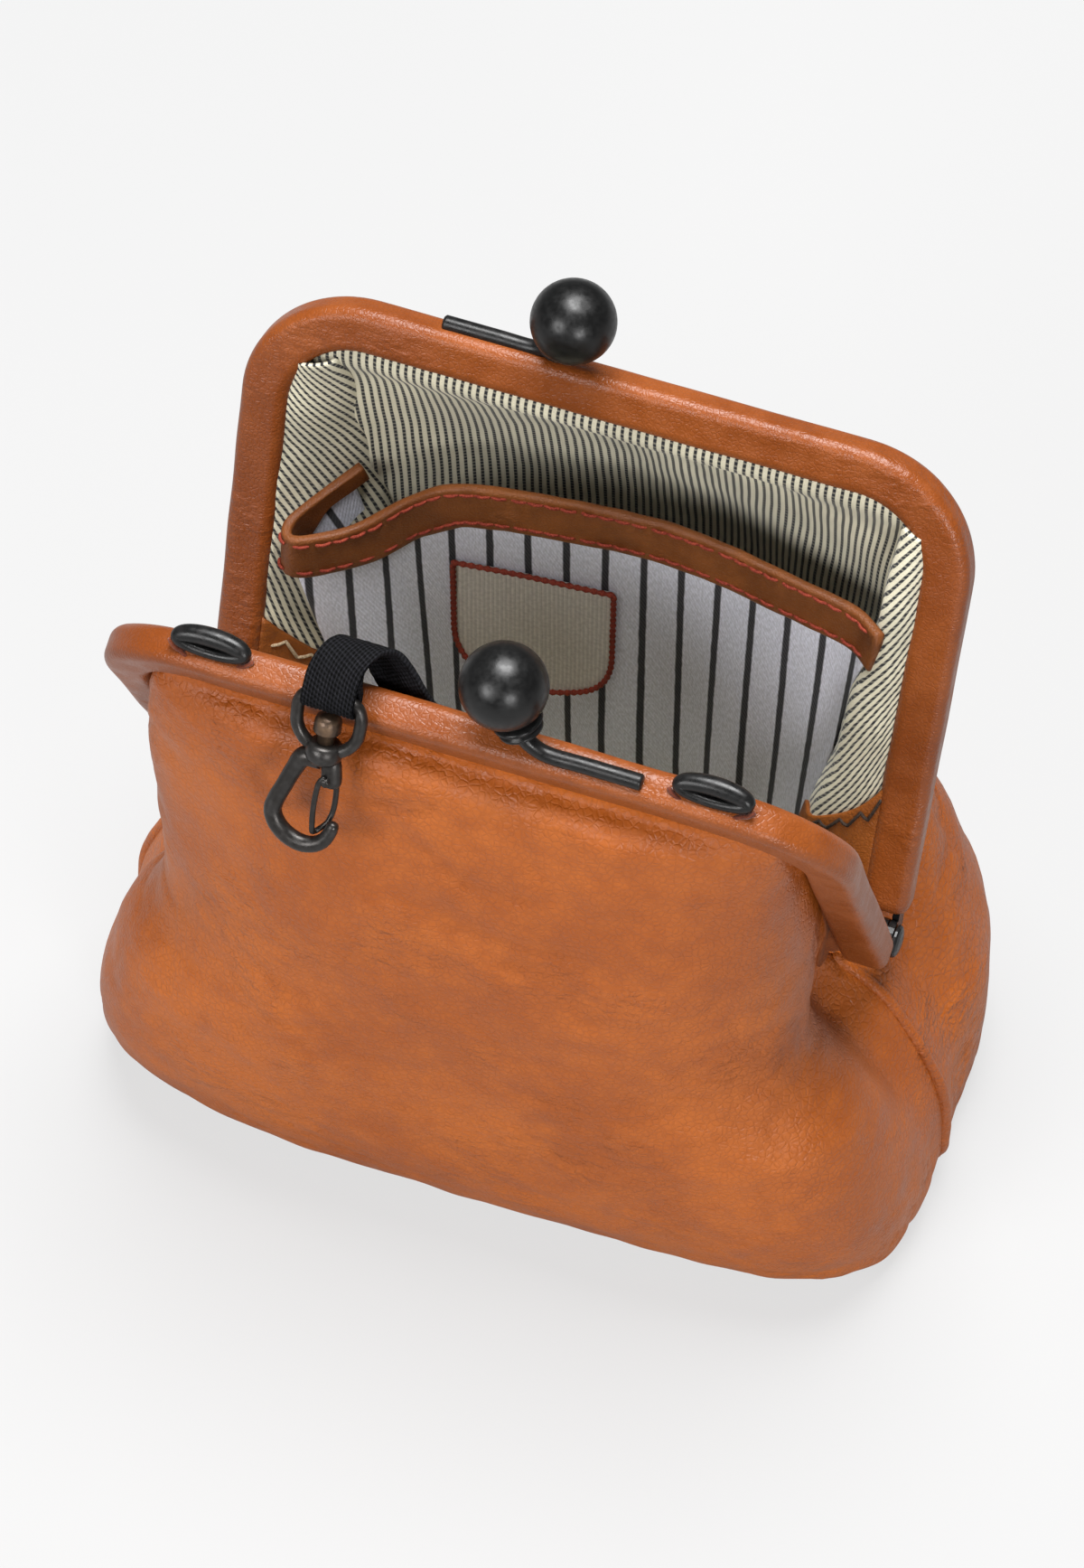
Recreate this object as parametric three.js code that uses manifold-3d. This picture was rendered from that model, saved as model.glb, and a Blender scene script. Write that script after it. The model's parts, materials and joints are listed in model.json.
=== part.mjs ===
// A leather phone pouch with a kiss-lock frame: two hinged frame halves with ball clasps, a soft
// leather body with a lining and a slip pocket, strap eyelets, and a swivel hook on a webbing loop.
// Millimetres. X runs along the mouth, -Y is the front, +Z is up, and the origin is under the base.
import * as THREE from 'three';
import { mergeVertices } from 'three/addons/utils/BufferGeometryUtils.js';
import Module from 'manifold-3d';

const wasm = await Module();
wasm.setup();

// Clearance between pieces that touch or pass each other
const gap = 0.3;

// Frame halves: each is an arch in its own plane, measured up from the hinge axis
const frameWidth = 150;
const frameHeight = 107.5;
const frameCorner = 25;
const barWidth = 10;
const barThickness = 7.7;
const barRounding = 2;
const wrapThickness = 1.2;
const channelWall = 1;
const midplaneGap = 0.2;
const wrapEnd = 5;
const hingeHeight = 70;
const frontTilt = THREE.MathUtils.degToRad(24);
const rearTilt = THREE.MathUtils.degToRad(19.7);

// Hinge: a flat lug on each leg, held by a domed rivet
const lugRadius = 4;
const lugThickness = 1.4;
const lugReach = 9;
const rivetRadius = 1.5;
const rivetHeadRadius = 3.4;
const rivetHeadHeight = 1.5;

// Ball clasp: a wire arm that lies on the bar and bends up to a ball on a collar
const ballRadius = 8.35;
const ballLift = 13.1;
const ballCross = 7.5;
const armRadius = 1.6;
const armSunk = 1.1;
const armLength = 22;
const armBend = 14;
const collarRadius = 4.6;
const collarHeight = 2;

// Strap eyelets: upright rings let into the front bar
const eyeletSpacing = 98;
const eyeletOuterRadius = 7.4;
const eyeletInnerRadius = 4.7;
const eyeletThickness = 3.3;
const eyeletEdge = 0.5;

// Webbing loop over the front bar
const strapOffset = -23.5;
const strapWidth = 10.2;
const strapThickness = 1;
const strapTail = 18;
const strapRise = 2;
const strapArch = 5;
const strapInset = 0.05;

// Swivel hook: an eye in the webbing loop, a post, a hook and a wire gate
const hookRestLean = THREE.MathUtils.degToRad(24);
const hookNeckClear = 5;
const eyeBar = 2.6;
const eyeInnerWidth = 11.2;
const eyeHeight = 16.5;
const eyeCorner = 1.2;
const eyeEdge = 0.6;
const bossRadius = 3.2;
const bossHeight = 4.6;
const postRadius = 1.6;
const postHeadRadius = 2.8;
const postHeadHeight = 2.4;
const hookRadius = 1.7;
const hookLength = 22;
const hookReach = 10.35;
const shoulderWidth = 4.8;
const shoulderHeight = 4.6;
const shoulderThickness = 3.8;
const gateRadius = 0.55;
const gateLength = 12.6;
const gatePinRadius = 0.8;
const gatePinAside = 1.44;
const gatePinDrop = 2.76;
const hookTipAside = 3.65;

// Soft body: a front and a back panel that meet at a seam under each hinge. It is widest at its foot,
// deepest at its neck, and each panel bags out beside the hinges.
const leather = 1.6;
const lining = 0.6;
const liningClear = 0.9;
const bodyOverhang = 14;
const baseInset = 5;
const bellyInset = 2;
const waistInset = 13.5;
const neckInset = 5;
const baseHalfDepth = 40;
const footHalfDepth = 50;
const bellyHalfDepth = 57;
const neckHalfDepth = 60;
const footHeight = 12;
const bellyHeight = 31;
const waistHeight = 55;
const lowerSquareness = 4.3;
const upperSquareness = 3.1;
const frontLobe = 9;
const rearLobe = 14;
const lobeAngle = THREE.MathUtils.degToRad(62);
const lobeSpread = THREE.MathUtils.degToRad(18);
const lobeStartShare = 0.5;
const seamDropShare = 0.07;
const seamDropReach = 2.2;
const lowerLiningShare = 0.06;
const panelTopDrop = 3;
const panelTopInset = 19;
const frontBulge = 0.5;
const rearBulge = 2.5;
const panelBulgeUp = 57;
const panelEdgeClear = 2.6;
const panelEdgeOut = 3;
const panelEdgeFront = 8;
const liningTopDrop = 1;

// Slip pocket: it hangs from its binding in front of the back lining and curves back to it at the bottom
const pocketThickness = 0.7;
const pocketTopInset = 6;
const pocketLowInset = 15;
const pocketTop = 126;
const pocketBottom = 48;
const pocketMiddleY = 34;
const pocketSideY = 26;
const pocketCurveBack = 14;
const bindingThickness = 2;
const bindingHeight = 10.2;
const patchThickness = 0.5;
const patchClear = 0.5;
const patchAside = -14;
const patchWidth = 33;
const patchBottom = 75;
const patchTop = 112;

// Leather facing inside the lining, behind the seam under each hinge
const facingThickness = 1.2;
const facingStart = THREE.MathUtils.degToRad(92);
const facingEnd = THREE.MathUtils.degToRad(118);
const facingLowShare = 0.8;

// Sizes that follow from the ones above
const barOuter = midplaneGap + barThickness;
const barMiddle = midplaneGap + barThickness / 2;
const steelInset = wrapThickness + gap;
const steelOuterX = frameWidth / 2 - steelInset;
const strapLoopRadius = eyeBar * Math.SQRT1_2 + gap + strapThickness / 2;
const strapInnerOut = midplaneGap + strapInset + strapThickness / 2;
const eyeAxisUp = frameHeight + strapRise + strapArch - strapLoopRadius;
const eyeAxisOut = strapInnerOut + strapArch;
// The hook hangs at its rest lean, or further out where the neck of the body would be in its way
const eyeAxisReach = eyeAxisUp * Math.sin(frontTilt) + eyeAxisOut * Math.cos(frontTilt);
const neckLean = Math.asin((neckHalfDepth + hookNeckClear - eyeAxisReach) / (eyeHeight + hookLength));
const hookLean = Math.max(hookRestLean, neckLean);
const legInner = frameWidth / 2 - barWidth;
const pocketTopHalfWidth = legInner - pocketTopInset;
const pocketLowHalfWidth = legInner - pocketLowInset;
const bodyHalfWidth = frameWidth / 2 + bodyOverhang;
const baseHalfWidth = bodyHalfWidth - baseInset;
const panelTopHalfWidth = frameWidth / 2 - panelTopInset;
const sideSeamAngle = Math.PI / 2;

const front = { tilt: frontTilt, turn: 0, lobe: frontLobe, bulge: frontBulge };
const rear = { tilt: rearTilt, turn: Math.PI, lobe: rearLobe, bulge: rearBulge };

const wrapLeather = new THREE.MeshStandardMaterial({ color: '#8f4a22', roughness: 0.5, metalness: 0 });
const bodyLeather = new THREE.MeshStandardMaterial({ color: '#b5692f', roughness: 0.55, metalness: 0 });
const bindingLeather = new THREE.MeshStandardMaterial({ color: '#7a4524', roughness: 0.65, metalness: 0 });
const ticking = new THREE.MeshStandardMaterial({ color: '#b9b394', roughness: 0.9, metalness: 0 });
const twill = new THREE.MeshStandardMaterial({ color: '#a9a9b4', roughness: 0.9, metalness: 0 });
const patchCloth = new THREE.MeshStandardMaterial({ color: '#c9c0b0', roughness: 0.95, metalness: 0 });
const blackMetal = new THREE.MeshStandardMaterial({ color: '#161616', roughness: 0.45, metalness: 0.6 });
const darkMetal = new THREE.MeshStandardMaterial({ color: '#3a3733', roughness: 0.4, metalness: 0.9 });
const webbing = new THREE.MeshStandardMaterial({ color: '#121212', roughness: 0.95, metalness: 0 });

// Solid helpers: closed meshes in, closed meshes out

function welded(geometry) {
  const bare = geometry.clone();
  bare.deleteAttribute('normal');
  bare.deleteAttribute('uv');
  return mergeVertices(bare, 1e-4);
}

function toSolid(geometry) {
  const bare = welded(geometry);
  const vertProperties = new Float32Array(bare.attributes.position.array);
  const triVerts = new Uint32Array(bare.index.array);
  return new wasm.Manifold(new wasm.Mesh({ numProp: 3, vertProperties, triVerts }));
}

function fromSolid(solid) {
  const mesh = solid.getMesh();
  const geometry = new THREE.BufferGeometry();
  geometry.setAttribute('position', new THREE.BufferAttribute(mesh.vertProperties, 3));
  geometry.setIndex(new THREE.BufferAttribute(mesh.triVerts, 1));
  geometry.computeVertexNormals();
  return geometry;
}

function join(first, ...others) {
  return fromSolid(others.map(toSolid).reduce((sum, part) => sum.add(part), toSolid(first)));
}

function cut(body, ...tools) {
  return fromSolid(tools.map(toSolid).reduce((rest, tool) => rest.subtract(tool), toSolid(body)));
}

function boxBetween(low, high) {
  const size = high.clone().sub(low);
  const middle = high.clone().add(low).multiplyScalar(0.5);
  return new THREE.BoxGeometry(size.x, size.y, size.z).translate(middle.x, middle.y, middle.z);
}

function rodAlongX(radius, fromX, toX, sides = 16) {
  const rod = new THREE.CylinderGeometry(radius, radius, Math.abs(toX - fromX), sides);
  return rod.rotateZ(Math.PI / 2).translate((fromX + toX) / 2, 0, 0);
}

function discShape(radius) {
  return new THREE.Shape().absarc(0, 0, radius, 0, 2 * Math.PI, false);
}

function tube(points, radius, steps, sides = 8) {
  const extrudePath = new THREE.CatmullRomCurve3(points, false, 'centripetal');
  const curveSegments = sides / 2;
  return new THREE.ExtrudeGeometry(discShape(radius), { steps, curveSegments, extrudePath });
}

// A sheet of leather or cloth: a grid of points on a surface, thickened inwards between two depths
// and closed round its edge. Depths are numbers, or functions of the place on the sheet.
function sheet(pointAt, columns, rows, nearDepth, farDepth) {
  const positions = [];
  const depths = [nearDepth, farDepth].map((d) => (typeof d === 'function' ? d : () => d));
  for (const depthAt of depths) {
    for (let r = 0; r <= rows; r += 1) {
      for (let c = 0; c <= columns; c += 1) {
        const u = c / columns;
        const v = r / rows;
        const point = pointAt(u, v).addScaledVector(inwardNormal(pointAt, u, v), depthAt(u, v));
        positions.push(point.x, point.y, point.z);
      }
    }
  }
  const geometry = new THREE.BufferGeometry();
  geometry.setAttribute('position', new THREE.Float32BufferAttribute(positions, 3));
  geometry.setIndex(sheetFaces(columns, rows));
  geometry.computeVertexNormals();
  return geometry;
}

function inwardNormal(pointAt, u, v) {
  const step = 0.01;
  const across = pointAt(Math.min(1, u + step), v).sub(pointAt(Math.max(0, u - step), v));
  const along = pointAt(u, Math.min(1, v + step)).sub(pointAt(u, Math.max(0, v - step)));
  return along.cross(across).normalize();
}

function sheetFaces(columns, rows) {
  const faces = [];
  const far = (columns + 1) * (rows + 1);
  const at = (r, c) => r * (columns + 1) + c;
  for (let r = 0; r < rows; r += 1) {
    for (let c = 0; c < columns; c += 1) {
      const [a, b, d, e] = [at(r, c), at(r, c + 1), at(r + 1, c + 1), at(r + 1, c)];
      faces.push(a, b, d, a, d, e);
      faces.push(far + a, far + d, far + b, far + a, far + e, far + d);
    }
  }
  const edge = [];
  for (let c = 0; c < columns; c += 1) edge.push(at(0, c));
  for (let r = 0; r < rows; r += 1) edge.push(at(r, columns));
  for (let c = columns; c > 0; c -= 1) edge.push(at(rows, c));
  for (let r = rows; r > 0; r -= 1) edge.push(at(r, 0));
  edge.forEach((here, i) => {
    const next = edge[(i + 1) % edge.length];
    faces.push(next, here, far + here, next, far + here, far + next);
  });
  return faces;
}

// Frame half, in its own plane: X along the mouth, -Y out of the mouth plane, Z up from the hinge

// The arch between an outer and an inner offset from the frame's outer edge
function archShape(inset, width, legBottom) {
  const outerX = frameWidth / 2 - inset;
  const innerX = outerX - width;
  const centreX = frameWidth / 2 - frameCorner;
  const centreUp = frameHeight - frameCorner;
  const outerRadius = frameCorner - inset;
  const innerRadius = outerRadius - width;
  const shape = new THREE.Shape();
  shape.moveTo(outerX, legBottom);
  shape.lineTo(outerX, centreUp);
  shape.absarc(centreX, centreUp, outerRadius, 0, Math.PI / 2, false);
  shape.absarc(-centreX, centreUp, outerRadius, Math.PI / 2, Math.PI, false);
  shape.lineTo(-outerX, legBottom);
  shape.lineTo(-innerX, legBottom);
  shape.absarc(-centreX, centreUp, innerRadius, Math.PI, Math.PI / 2, true);
  shape.absarc(centreX, centreUp, innerRadius, Math.PI / 2, 0, true);
  shape.lineTo(innerX, legBottom);
  shape.closePath();
  return shape;
}

function archBar(inset, width, nearOut, farOut, legBottom, rounding) {
  const shape = archShape(inset, width, legBottom);
  const bar = new THREE.ExtrudeGeometry(shape, {
    depth: farOut - nearOut - 2 * rounding,
    curveSegments: 4,
    bevelEnabled: rounding > 0,
    bevelSize: rounding,
    bevelOffset: -rounding,
    bevelThickness: rounding,
    bevelSegments: 2,
  });
  return bar.translate(0, 0, nearOut + rounding).rotateX(Math.PI / 2);
}

function hingeLug(sideX, lugX, holeRadius) {
  const [low, high] = [lugX, lugX - lugThickness].map((x) => sideX * x);
  const disc = rodAlongX(lugRadius, low, high, 20);
  const stemLow = new THREE.Vector3(Math.min(low, high), -(barOuter - steelInset), 0);
  const stemHigh = new THREE.Vector3(Math.max(low, high), -(midplaneGap + steelInset), wrapEnd + lugReach);
  return cut(join(disc, boxBetween(stemLow, stemHigh)), rodAlongX(holeRadius, low + sideX, high - sideX));
}

function frameSteel(lugX) {
  const legBottom = wrapEnd + 2 * gap;
  const width = barWidth - 2 * steelInset;
  const [near, far] = [midplaneGap + steelInset, barOuter - steelInset];
  const bar = archBar(steelInset, width, near, far, legBottom, 0);
  const groove = archBar(steelInset + channelWall, width, near + channelWall, far - channelWall, 0, 0);
  const lugs = [-1, 1].map((sideX) => hingeLug(sideX, lugX, rivetRadius + gap));
  return join(cut(bar, groove), ...lugs);
}

function frameWrap(...slots) {
  const sleeve = archBar(0, barWidth, midplaneGap, barOuter, wrapEnd, barRounding);
  const boreWidth = barWidth - 2 * wrapThickness;
  const bore = archBar(wrapThickness, boreWidth, midplaneGap + wrapThickness, barOuter - wrapThickness, 0, 0);
  return cut(sleeve, bore, ...slots);
}

function hingeRivet(sideX) {
  const shank = rodAlongX(rivetRadius, steelOuterX + 2 * gap, steelOuterX - 3 * lugThickness);
  const outerHead = domedHead(rivetHeadRadius, rivetHeadHeight).translate(steelOuterX + gap, 0, 0);
  const innerEnd = steelOuterX - 2 * lugThickness - 2 * gap;
  const innerHead = rodAlongX(rivetHeadRadius - 1, innerEnd - lugThickness, innerEnd - gap);
  const rivet = join(shank, outerHead, innerHead);
  return sideX > 0 ? rivet : rivet.rotateZ(Math.PI);
}

// A low dome on a flat back, standing along +X
function domedHead(radius, height) {
  const rim = height * 0.3;
  const profile = [new THREE.Vector2(0, 0), new THREE.Vector2(radius, 0), new THREE.Vector2(radius, rim)];
  const steps = 4;
  for (let i = 1; i <= steps; i += 1) {
    const angle = (i / steps) * (Math.PI / 2);
    const across = i === steps ? 0 : radius * Math.cos(angle);
    profile.push(new THREE.Vector2(across, rim + (height - rim) * Math.sin(angle)));
  }
  return new THREE.LatheGeometry(profile, 18).rotateZ(-Math.PI / 2);
}

// Ball clasp of one half

const armAxisUp = frameHeight + armRadius - armSunk;
const ballCentre = new THREE.Vector3(ballRadius + gap / 3, ballCross - barMiddle, frameHeight + ballLift);
const armBendPoint = new THREE.Vector3(armBend, -barMiddle, armAxisUp);
const neckDirection = ballCentre.clone().sub(armBendPoint).normalize();

function belowBall(distance) {
  return ballCentre.clone().addScaledVector(neckDirection, -distance);
}

function claspArm(radius, extra) {
  const end = armBendPoint.clone().add(new THREE.Vector3(armLength + extra, 0, 0));
  const middle = armBendPoint.clone().add(new THREE.Vector3(armLength / 2, 0, 0));
  const nearBend = armBendPoint.clone().add(new THREE.Vector3(2 * armRadius, 0, 0));
  const neckTop = belowBall(ballRadius + collarHeight + 2 * gap);
  const neckLow = neckTop.clone().addScaledVector(neckDirection, -armRadius);
  return tube([end, middle, nearBend, neckLow, neckTop], radius, 16, 10);
}

function claspCollar() {
  const collar = new THREE.CylinderGeometry(collarRadius, collarRadius * 0.8, collarHeight, 18);
  const turn = new THREE.Quaternion().setFromUnitVectors(new THREE.Vector3(0, 1, 0), neckDirection);
  const centre = belowBall(ballRadius + gap + collarHeight / 2);
  return collar.applyQuaternion(turn).translate(centre.x, centre.y, centre.z);
}

function claspBall() {
  return new THREE.SphereGeometry(ballRadius, 18, 12).translate(ballCentre.x, ballCentre.y, ballCentre.z);
}

// Strap eyelet: a ring that stands upright in the tilted bar, cut off above the steel

function eyeletRing(sideX, extra) {
  const shape = discShape(eyeletOuterRadius + extra);
  shape.holes.push(discShape(eyeletInnerRadius - extra));
  const depth = eyeletThickness + 2 * extra - 2 * eyeletEdge;
  const ring = new THREE.ExtrudeGeometry(shape, {
    depth,
    curveSegments: 10,
    bevelSize: eyeletEdge,
    bevelOffset: -eyeletEdge,
    bevelThickness: eyeletEdge,
    bevelSegments: 1,
  });
  ring.translate(0, 0, -depth / 2).rotateX(Math.PI / 2 - frontTilt);
  return ring.translate((sideX * eyeletSpacing) / 2, -barMiddle, frameHeight);
}

function strapEyelet(sideX) {
  const reach = 2 * eyeletOuterRadius;
  const centreX = (sideX * eyeletSpacing) / 2;
  const low = new THREE.Vector3(centreX - reach, -barMiddle - reach, frameHeight - reach);
  const high = new THREE.Vector3(centreX + reach, -barMiddle + reach, frameHeight - wrapThickness);
  return cut(eyeletRing(sideX, 0), boxBetween(low, high));
}

// Webbing loop: a band that rises from inside the mouth, arches over the bar and wraps the hook's eye

function strapLine() {
  const archTop = frameHeight + strapRise;
  const arch = new THREE.EllipseCurve(eyeAxisOut, archTop, strapArch, strapArch, Math.PI, Math.PI / 2, true);
  const loopEnd = -0.8 * Math.PI;
  const loop = new THREE.EllipseCurve(
    eyeAxisOut, eyeAxisUp, strapLoopRadius, strapLoopRadius, Math.PI / 2, loopEnd, true);
  const start = new THREE.Vector2(strapInnerOut, frameHeight - strapTail);
  return [start, ...arch.getPoints(6), ...loop.getPoints(12).slice(1)];
}

function keyStrap() {
  const line = strapLine();
  const half = strapThickness / 2;
  const sides = line.map((point, i) => {
    const ahead = line[Math.min(i + 1, line.length - 1)];
    const behind = line[Math.max(i - 1, 0)];
    const across = ahead.clone().sub(behind).normalize().rotateAround(new THREE.Vector2(), Math.PI / 2);
    return [1, -1].map((side) => point.clone().addScaledVector(across, side * half));
  });
  const outline = [...sides.map((pair) => pair[0]), ...sides.map((pair) => pair[1]).reverse()];
  const shape = new THREE.Shape(outline);
  const band = new THREE.ExtrudeGeometry(shape, { depth: strapWidth, bevelEnabled: false });
  return band.rotateX(Math.PI / 2).rotateZ(-Math.PI / 2).translate(strapOffset + strapWidth / 2, 0, 0);
}

function strapNotch() {
  const half = strapWidth / 2 + gap;
  const farOut = strapInnerOut + strapThickness / 2 + gap;
  const low = new THREE.Vector3(strapOffset - half, -farOut, frameHeight - strapTail - gap);
  const high = new THREE.Vector3(strapOffset + half, midplaneGap, frameHeight + gap);
  return boxBetween(low, high);
}

// Swivel hook, hanging from the axis of the eye's top bar: X across, -Y away from the panel, Z up

function eyeOutline(extra) {
  const half = eyeInnerWidth / 2 + extra;
  const top = -eyeBar / 2 + extra;
  const bowlUp = eyeBar / 2 - eyeHeight + eyeInnerWidth / 2 + eyeBar;
  const corner = eyeCorner + extra;
  const shape = new THREE.Shape();
  shape.absarc(half - corner, top - corner, corner, 0, Math.PI / 2, false);
  shape.absarc(-half + corner, top - corner, corner, Math.PI / 2, Math.PI, false);
  shape.absarc(0, bowlUp, half, Math.PI, 2 * Math.PI, false);
  shape.closePath();
  return shape;
}

const bossBottom = eyeBar / 2 - eyeHeight - bossHeight / 2 + eyeBar / 2;
const bossTop = bossBottom + bossHeight;
const shoulderTop = bossBottom - gap;
const gatePinUp = shoulderTop - gatePinDrop;
const hookBottom = shoulderTop - gap - hookLength + hookRadius;

function hookEye() {
  const shape = eyeOutline(eyeBar);
  shape.holes.push(eyeOutline(0));
  const depth = eyeBar - 2 * eyeEdge;
  const ring = new THREE.ExtrudeGeometry(shape, {
    depth,
    curveSegments: 5,
    bevelSize: eyeEdge,
    bevelOffset: -eyeEdge,
    bevelThickness: eyeEdge,
    bevelSegments: 1,
  });
  ring.translate(0, 0, -depth / 2).rotateX(Math.PI / 2);
  const boss = new THREE.CylinderGeometry(bossRadius, bossRadius, bossHeight, 16);
  boss.rotateX(Math.PI / 2).translate(0, 0, (bossBottom + bossTop) / 2);
  const hole = new THREE.CylinderGeometry(postRadius + gap, postRadius + gap, 2 * bossHeight, 16);
  hole.rotateX(Math.PI / 2).translate(0, 0, (bossBottom + bossTop) / 2);
  return cut(join(ring, boss), hole);
}

function swivelPost() {
  const shank = new THREE.CylinderGeometry(postRadius, postRadius, bossHeight + gap, 14);
  shank.rotateX(Math.PI / 2).translate(0, 0, bossTop + gap - (bossHeight + gap) / 2);
  const head = domedHead(postHeadRadius, postHeadHeight).rotateY(-Math.PI / 2);
  return join(shank, head.translate(0, 0, bossTop + gap - 0.01));
}

function hookBody() {
  const top = shoulderTop - gap;
  const low = new THREE.Vector3(-shoulderWidth / 2, -shoulderThickness / 2, top - shoulderHeight);
  const high = new THREE.Vector3(shoulderWidth / 2, shoulderThickness / 2, top);
  const armX = hookRadius - hookReach;
  const bend = [
    [0, top - hookRadius],
    [0.6 * armX, top - 1.6 * hookRadius],
    [armX, top - 0.45 * hookLength],
    [armX, hookBottom + 0.22 * hookLength],
    [0.5 * armX, hookBottom],
    [0, hookBottom],
    [0.9 * hookTipAside, hookBottom + 0.13 * hookLength],
    [hookTipAside, hookBottom + 0.24 * hookLength],
  ];
  const arm = tube(bend.map(([x, z]) => new THREE.Vector3(x, 0, z)), hookRadius, 22, 10);
  const holeRadius = gatePinRadius + gap;
  const pinHole = new THREE.CylinderGeometry(holeRadius, holeRadius, 2 * shoulderThickness, 12);
  return cut(join(boxBetween(low, high), arm), pinHole.translate(gatePinAside, 0, gatePinUp));
}

function gatePin() {
  const length = shoulderThickness + 4 * gateRadius + 4 * gap;
  const pin = new THREE.CylinderGeometry(gatePinRadius, gatePinRadius, length, 12);
  return pin.translate(gatePinAside, 0, gatePinUp);
}

function hookGate() {
  const legY = shoulderThickness / 2 + gap + gateRadius;
  const legX = gatePinAside;
  const tipX = hookTipAside - hookRadius - gap - 2 * gateRadius;
  const top = gatePinUp - gatePinRadius - gap;
  const line = [
    new THREE.Vector3(legX, -legY, top),
    new THREE.Vector3(legX, -legY, top - gateRadius * 4),
    new THREE.Vector3(tipX, -0.6 * legY, top - gateLength + gateRadius * 3),
    new THREE.Vector3(tipX, 0, top - gateLength),
    new THREE.Vector3(tipX, 0.6 * legY, top - gateLength + gateRadius * 3),
    new THREE.Vector3(legX, legY, top - gateRadius * 4),
    new THREE.Vector3(legX, legY, top),
  ];
  return tube(line, gateRadius, 20, 6);
}

// Soft body. Angles run round the body from the middle of the front, and shares from the floor upwards.

// Sine and cosine of a round that is squarer the bigger the power is
function squareRound(angle, power) {
  const sine = Math.sin(angle);
  const cosine = Math.cos(angle);
  const reach = (Math.abs(sine) ** power + Math.abs(cosine) ** power) ** (-1 / power);
  return [reach * sine, reach * cosine];
}

// 1 where a panel bags out most, for an angle from the middle of that panel
function lobeShape(angle) {
  return Math.exp(-(((Math.abs(angle) - lobeAngle) / lobeSpread) ** 2));
}

const lowerProfile = new THREE.CatmullRomCurve3([
  new THREE.Vector3(baseHalfWidth, baseHalfDepth, 0),
  new THREE.Vector3(bodyHalfWidth, footHalfDepth, footHeight),
  new THREE.Vector3(bodyHalfWidth - bellyInset, bellyHalfDepth, bellyHeight),
  new THREE.Vector3(bodyHalfWidth - waistInset, neckHalfDepth, waistHeight),
  new THREE.Vector3(legInner - neckInset, neckHalfDepth, hingeHeight - gap),
]);

function lowerPoint(angle, share) {
  const size = lowerProfile.getPoint(share);
  const [across, forward] = squareRound(angle, lowerSquareness);
  const half = Math.cos(angle) > 0 ? front : rear;
  const fromMiddle = Math.acos(Math.abs(Math.cos(angle)));
  const full = Math.max(0, (share - lobeStartShare) / (1 - lobeStartShare));
  const lobe = half.lobe * full * lobeShape(fromMiddle);
  return new THREE.Vector3(size.x * across + Math.sign(across) * lobe, -size.y * forward, size.z);
}

// The top edge dips at the seams, under the hinges
function lowerTop(angle) {
  return 1 - seamDropShare * Math.max(0, 1 - Math.abs(Math.cos(angle)) * seamDropReach);
}

function lowerSheet(fromAngle, toAngle, low, columns, rows, nearDepth, farDepth) {
  const seam = gap / legInner;
  const pointAt = (u, v) => {
    const angle = THREE.MathUtils.lerp(fromAngle + seam, toAngle - seam, u);
    return lowerPoint(angle, THREE.MathUtils.lerp(low, lowerTop(angle), v));
  };
  return sheet(pointAt, columns, rows, nearDepth, farDepth);
}

function baseDisc(inset, low, high) {
  const sides = 48;
  const outline = [];
  for (let i = 0; i < sides; i += 1) {
    const [across, forward] = squareRound((-i / sides) * 2 * Math.PI, lowerSquareness);
    outline.push(new THREE.Vector2((baseHalfWidth - inset) * across, (baseHalfDepth - inset) * forward));
  }
  const shape = new THREE.Shape(outline);
  const disc = new THREE.ExtrudeGeometry(shape, { depth: high - low, bevelEnabled: false });
  return disc.translate(0, 0, low);
}

// Upper panels: a pillow between its centre line and its side edges, drawn for the front half

function onHalf(half, along, up, out) {
  const y = -(up * Math.sin(half.tilt) + out * Math.cos(half.tilt));
  const z = hingeHeight + up * Math.cos(half.tilt) - out * Math.sin(half.tilt);
  return new THREE.Vector3(along, y, z);
}

function pillow(centreLine, edgeLine, lobe) {
  return (u, v) => {
    const centre = centreLine.getPoint(v);
    const edge = edgeLine.getPoint(v);
    const angle = (u - 0.5) * Math.PI;
    const [across, forward] = squareRound(angle, THREE.MathUtils.lerp(lowerSquareness, upperSquareness, v));
    const bag = Math.sign(angle) * lobe * lobeShape(angle) * (1 - v) ** 1.5;
    const point = new THREE.Vector3(edge.x * across + bag, edge.y, edge.z);
    return point.lerp(new THREE.Vector3(point.x, centre.y, centre.z), forward);
  };
}

function upperPanelSurface(half) {
  const out = barOuter + gap + leather;
  const top = frameHeight - panelTopDrop;
  const edgeX = legInner - panelEdgeClear;
  const centreLine = new THREE.QuadraticBezierCurve3(
    new THREE.Vector3(0, -neckHalfDepth, hingeHeight + gap),
    new THREE.Vector3(0, -(neckHalfDepth + half.bulge), hingeHeight + panelBulgeUp),
    onHalf(half, 0, top, out),
  );
  const edgeLine = new THREE.CatmullRomCurve3([
    new THREE.Vector3(edgeX, -panelEdgeFront, hingeHeight + gap),
    onHalf(half, edgeX, frameHeight / 2, panelEdgeOut),
    onHalf(half, edgeX, frameHeight - frameCorner, out),
    onHalf(half, panelTopHalfWidth, top, out),
  ]);
  return pillow(centreLine, edgeLine, half.lobe);
}

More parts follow.
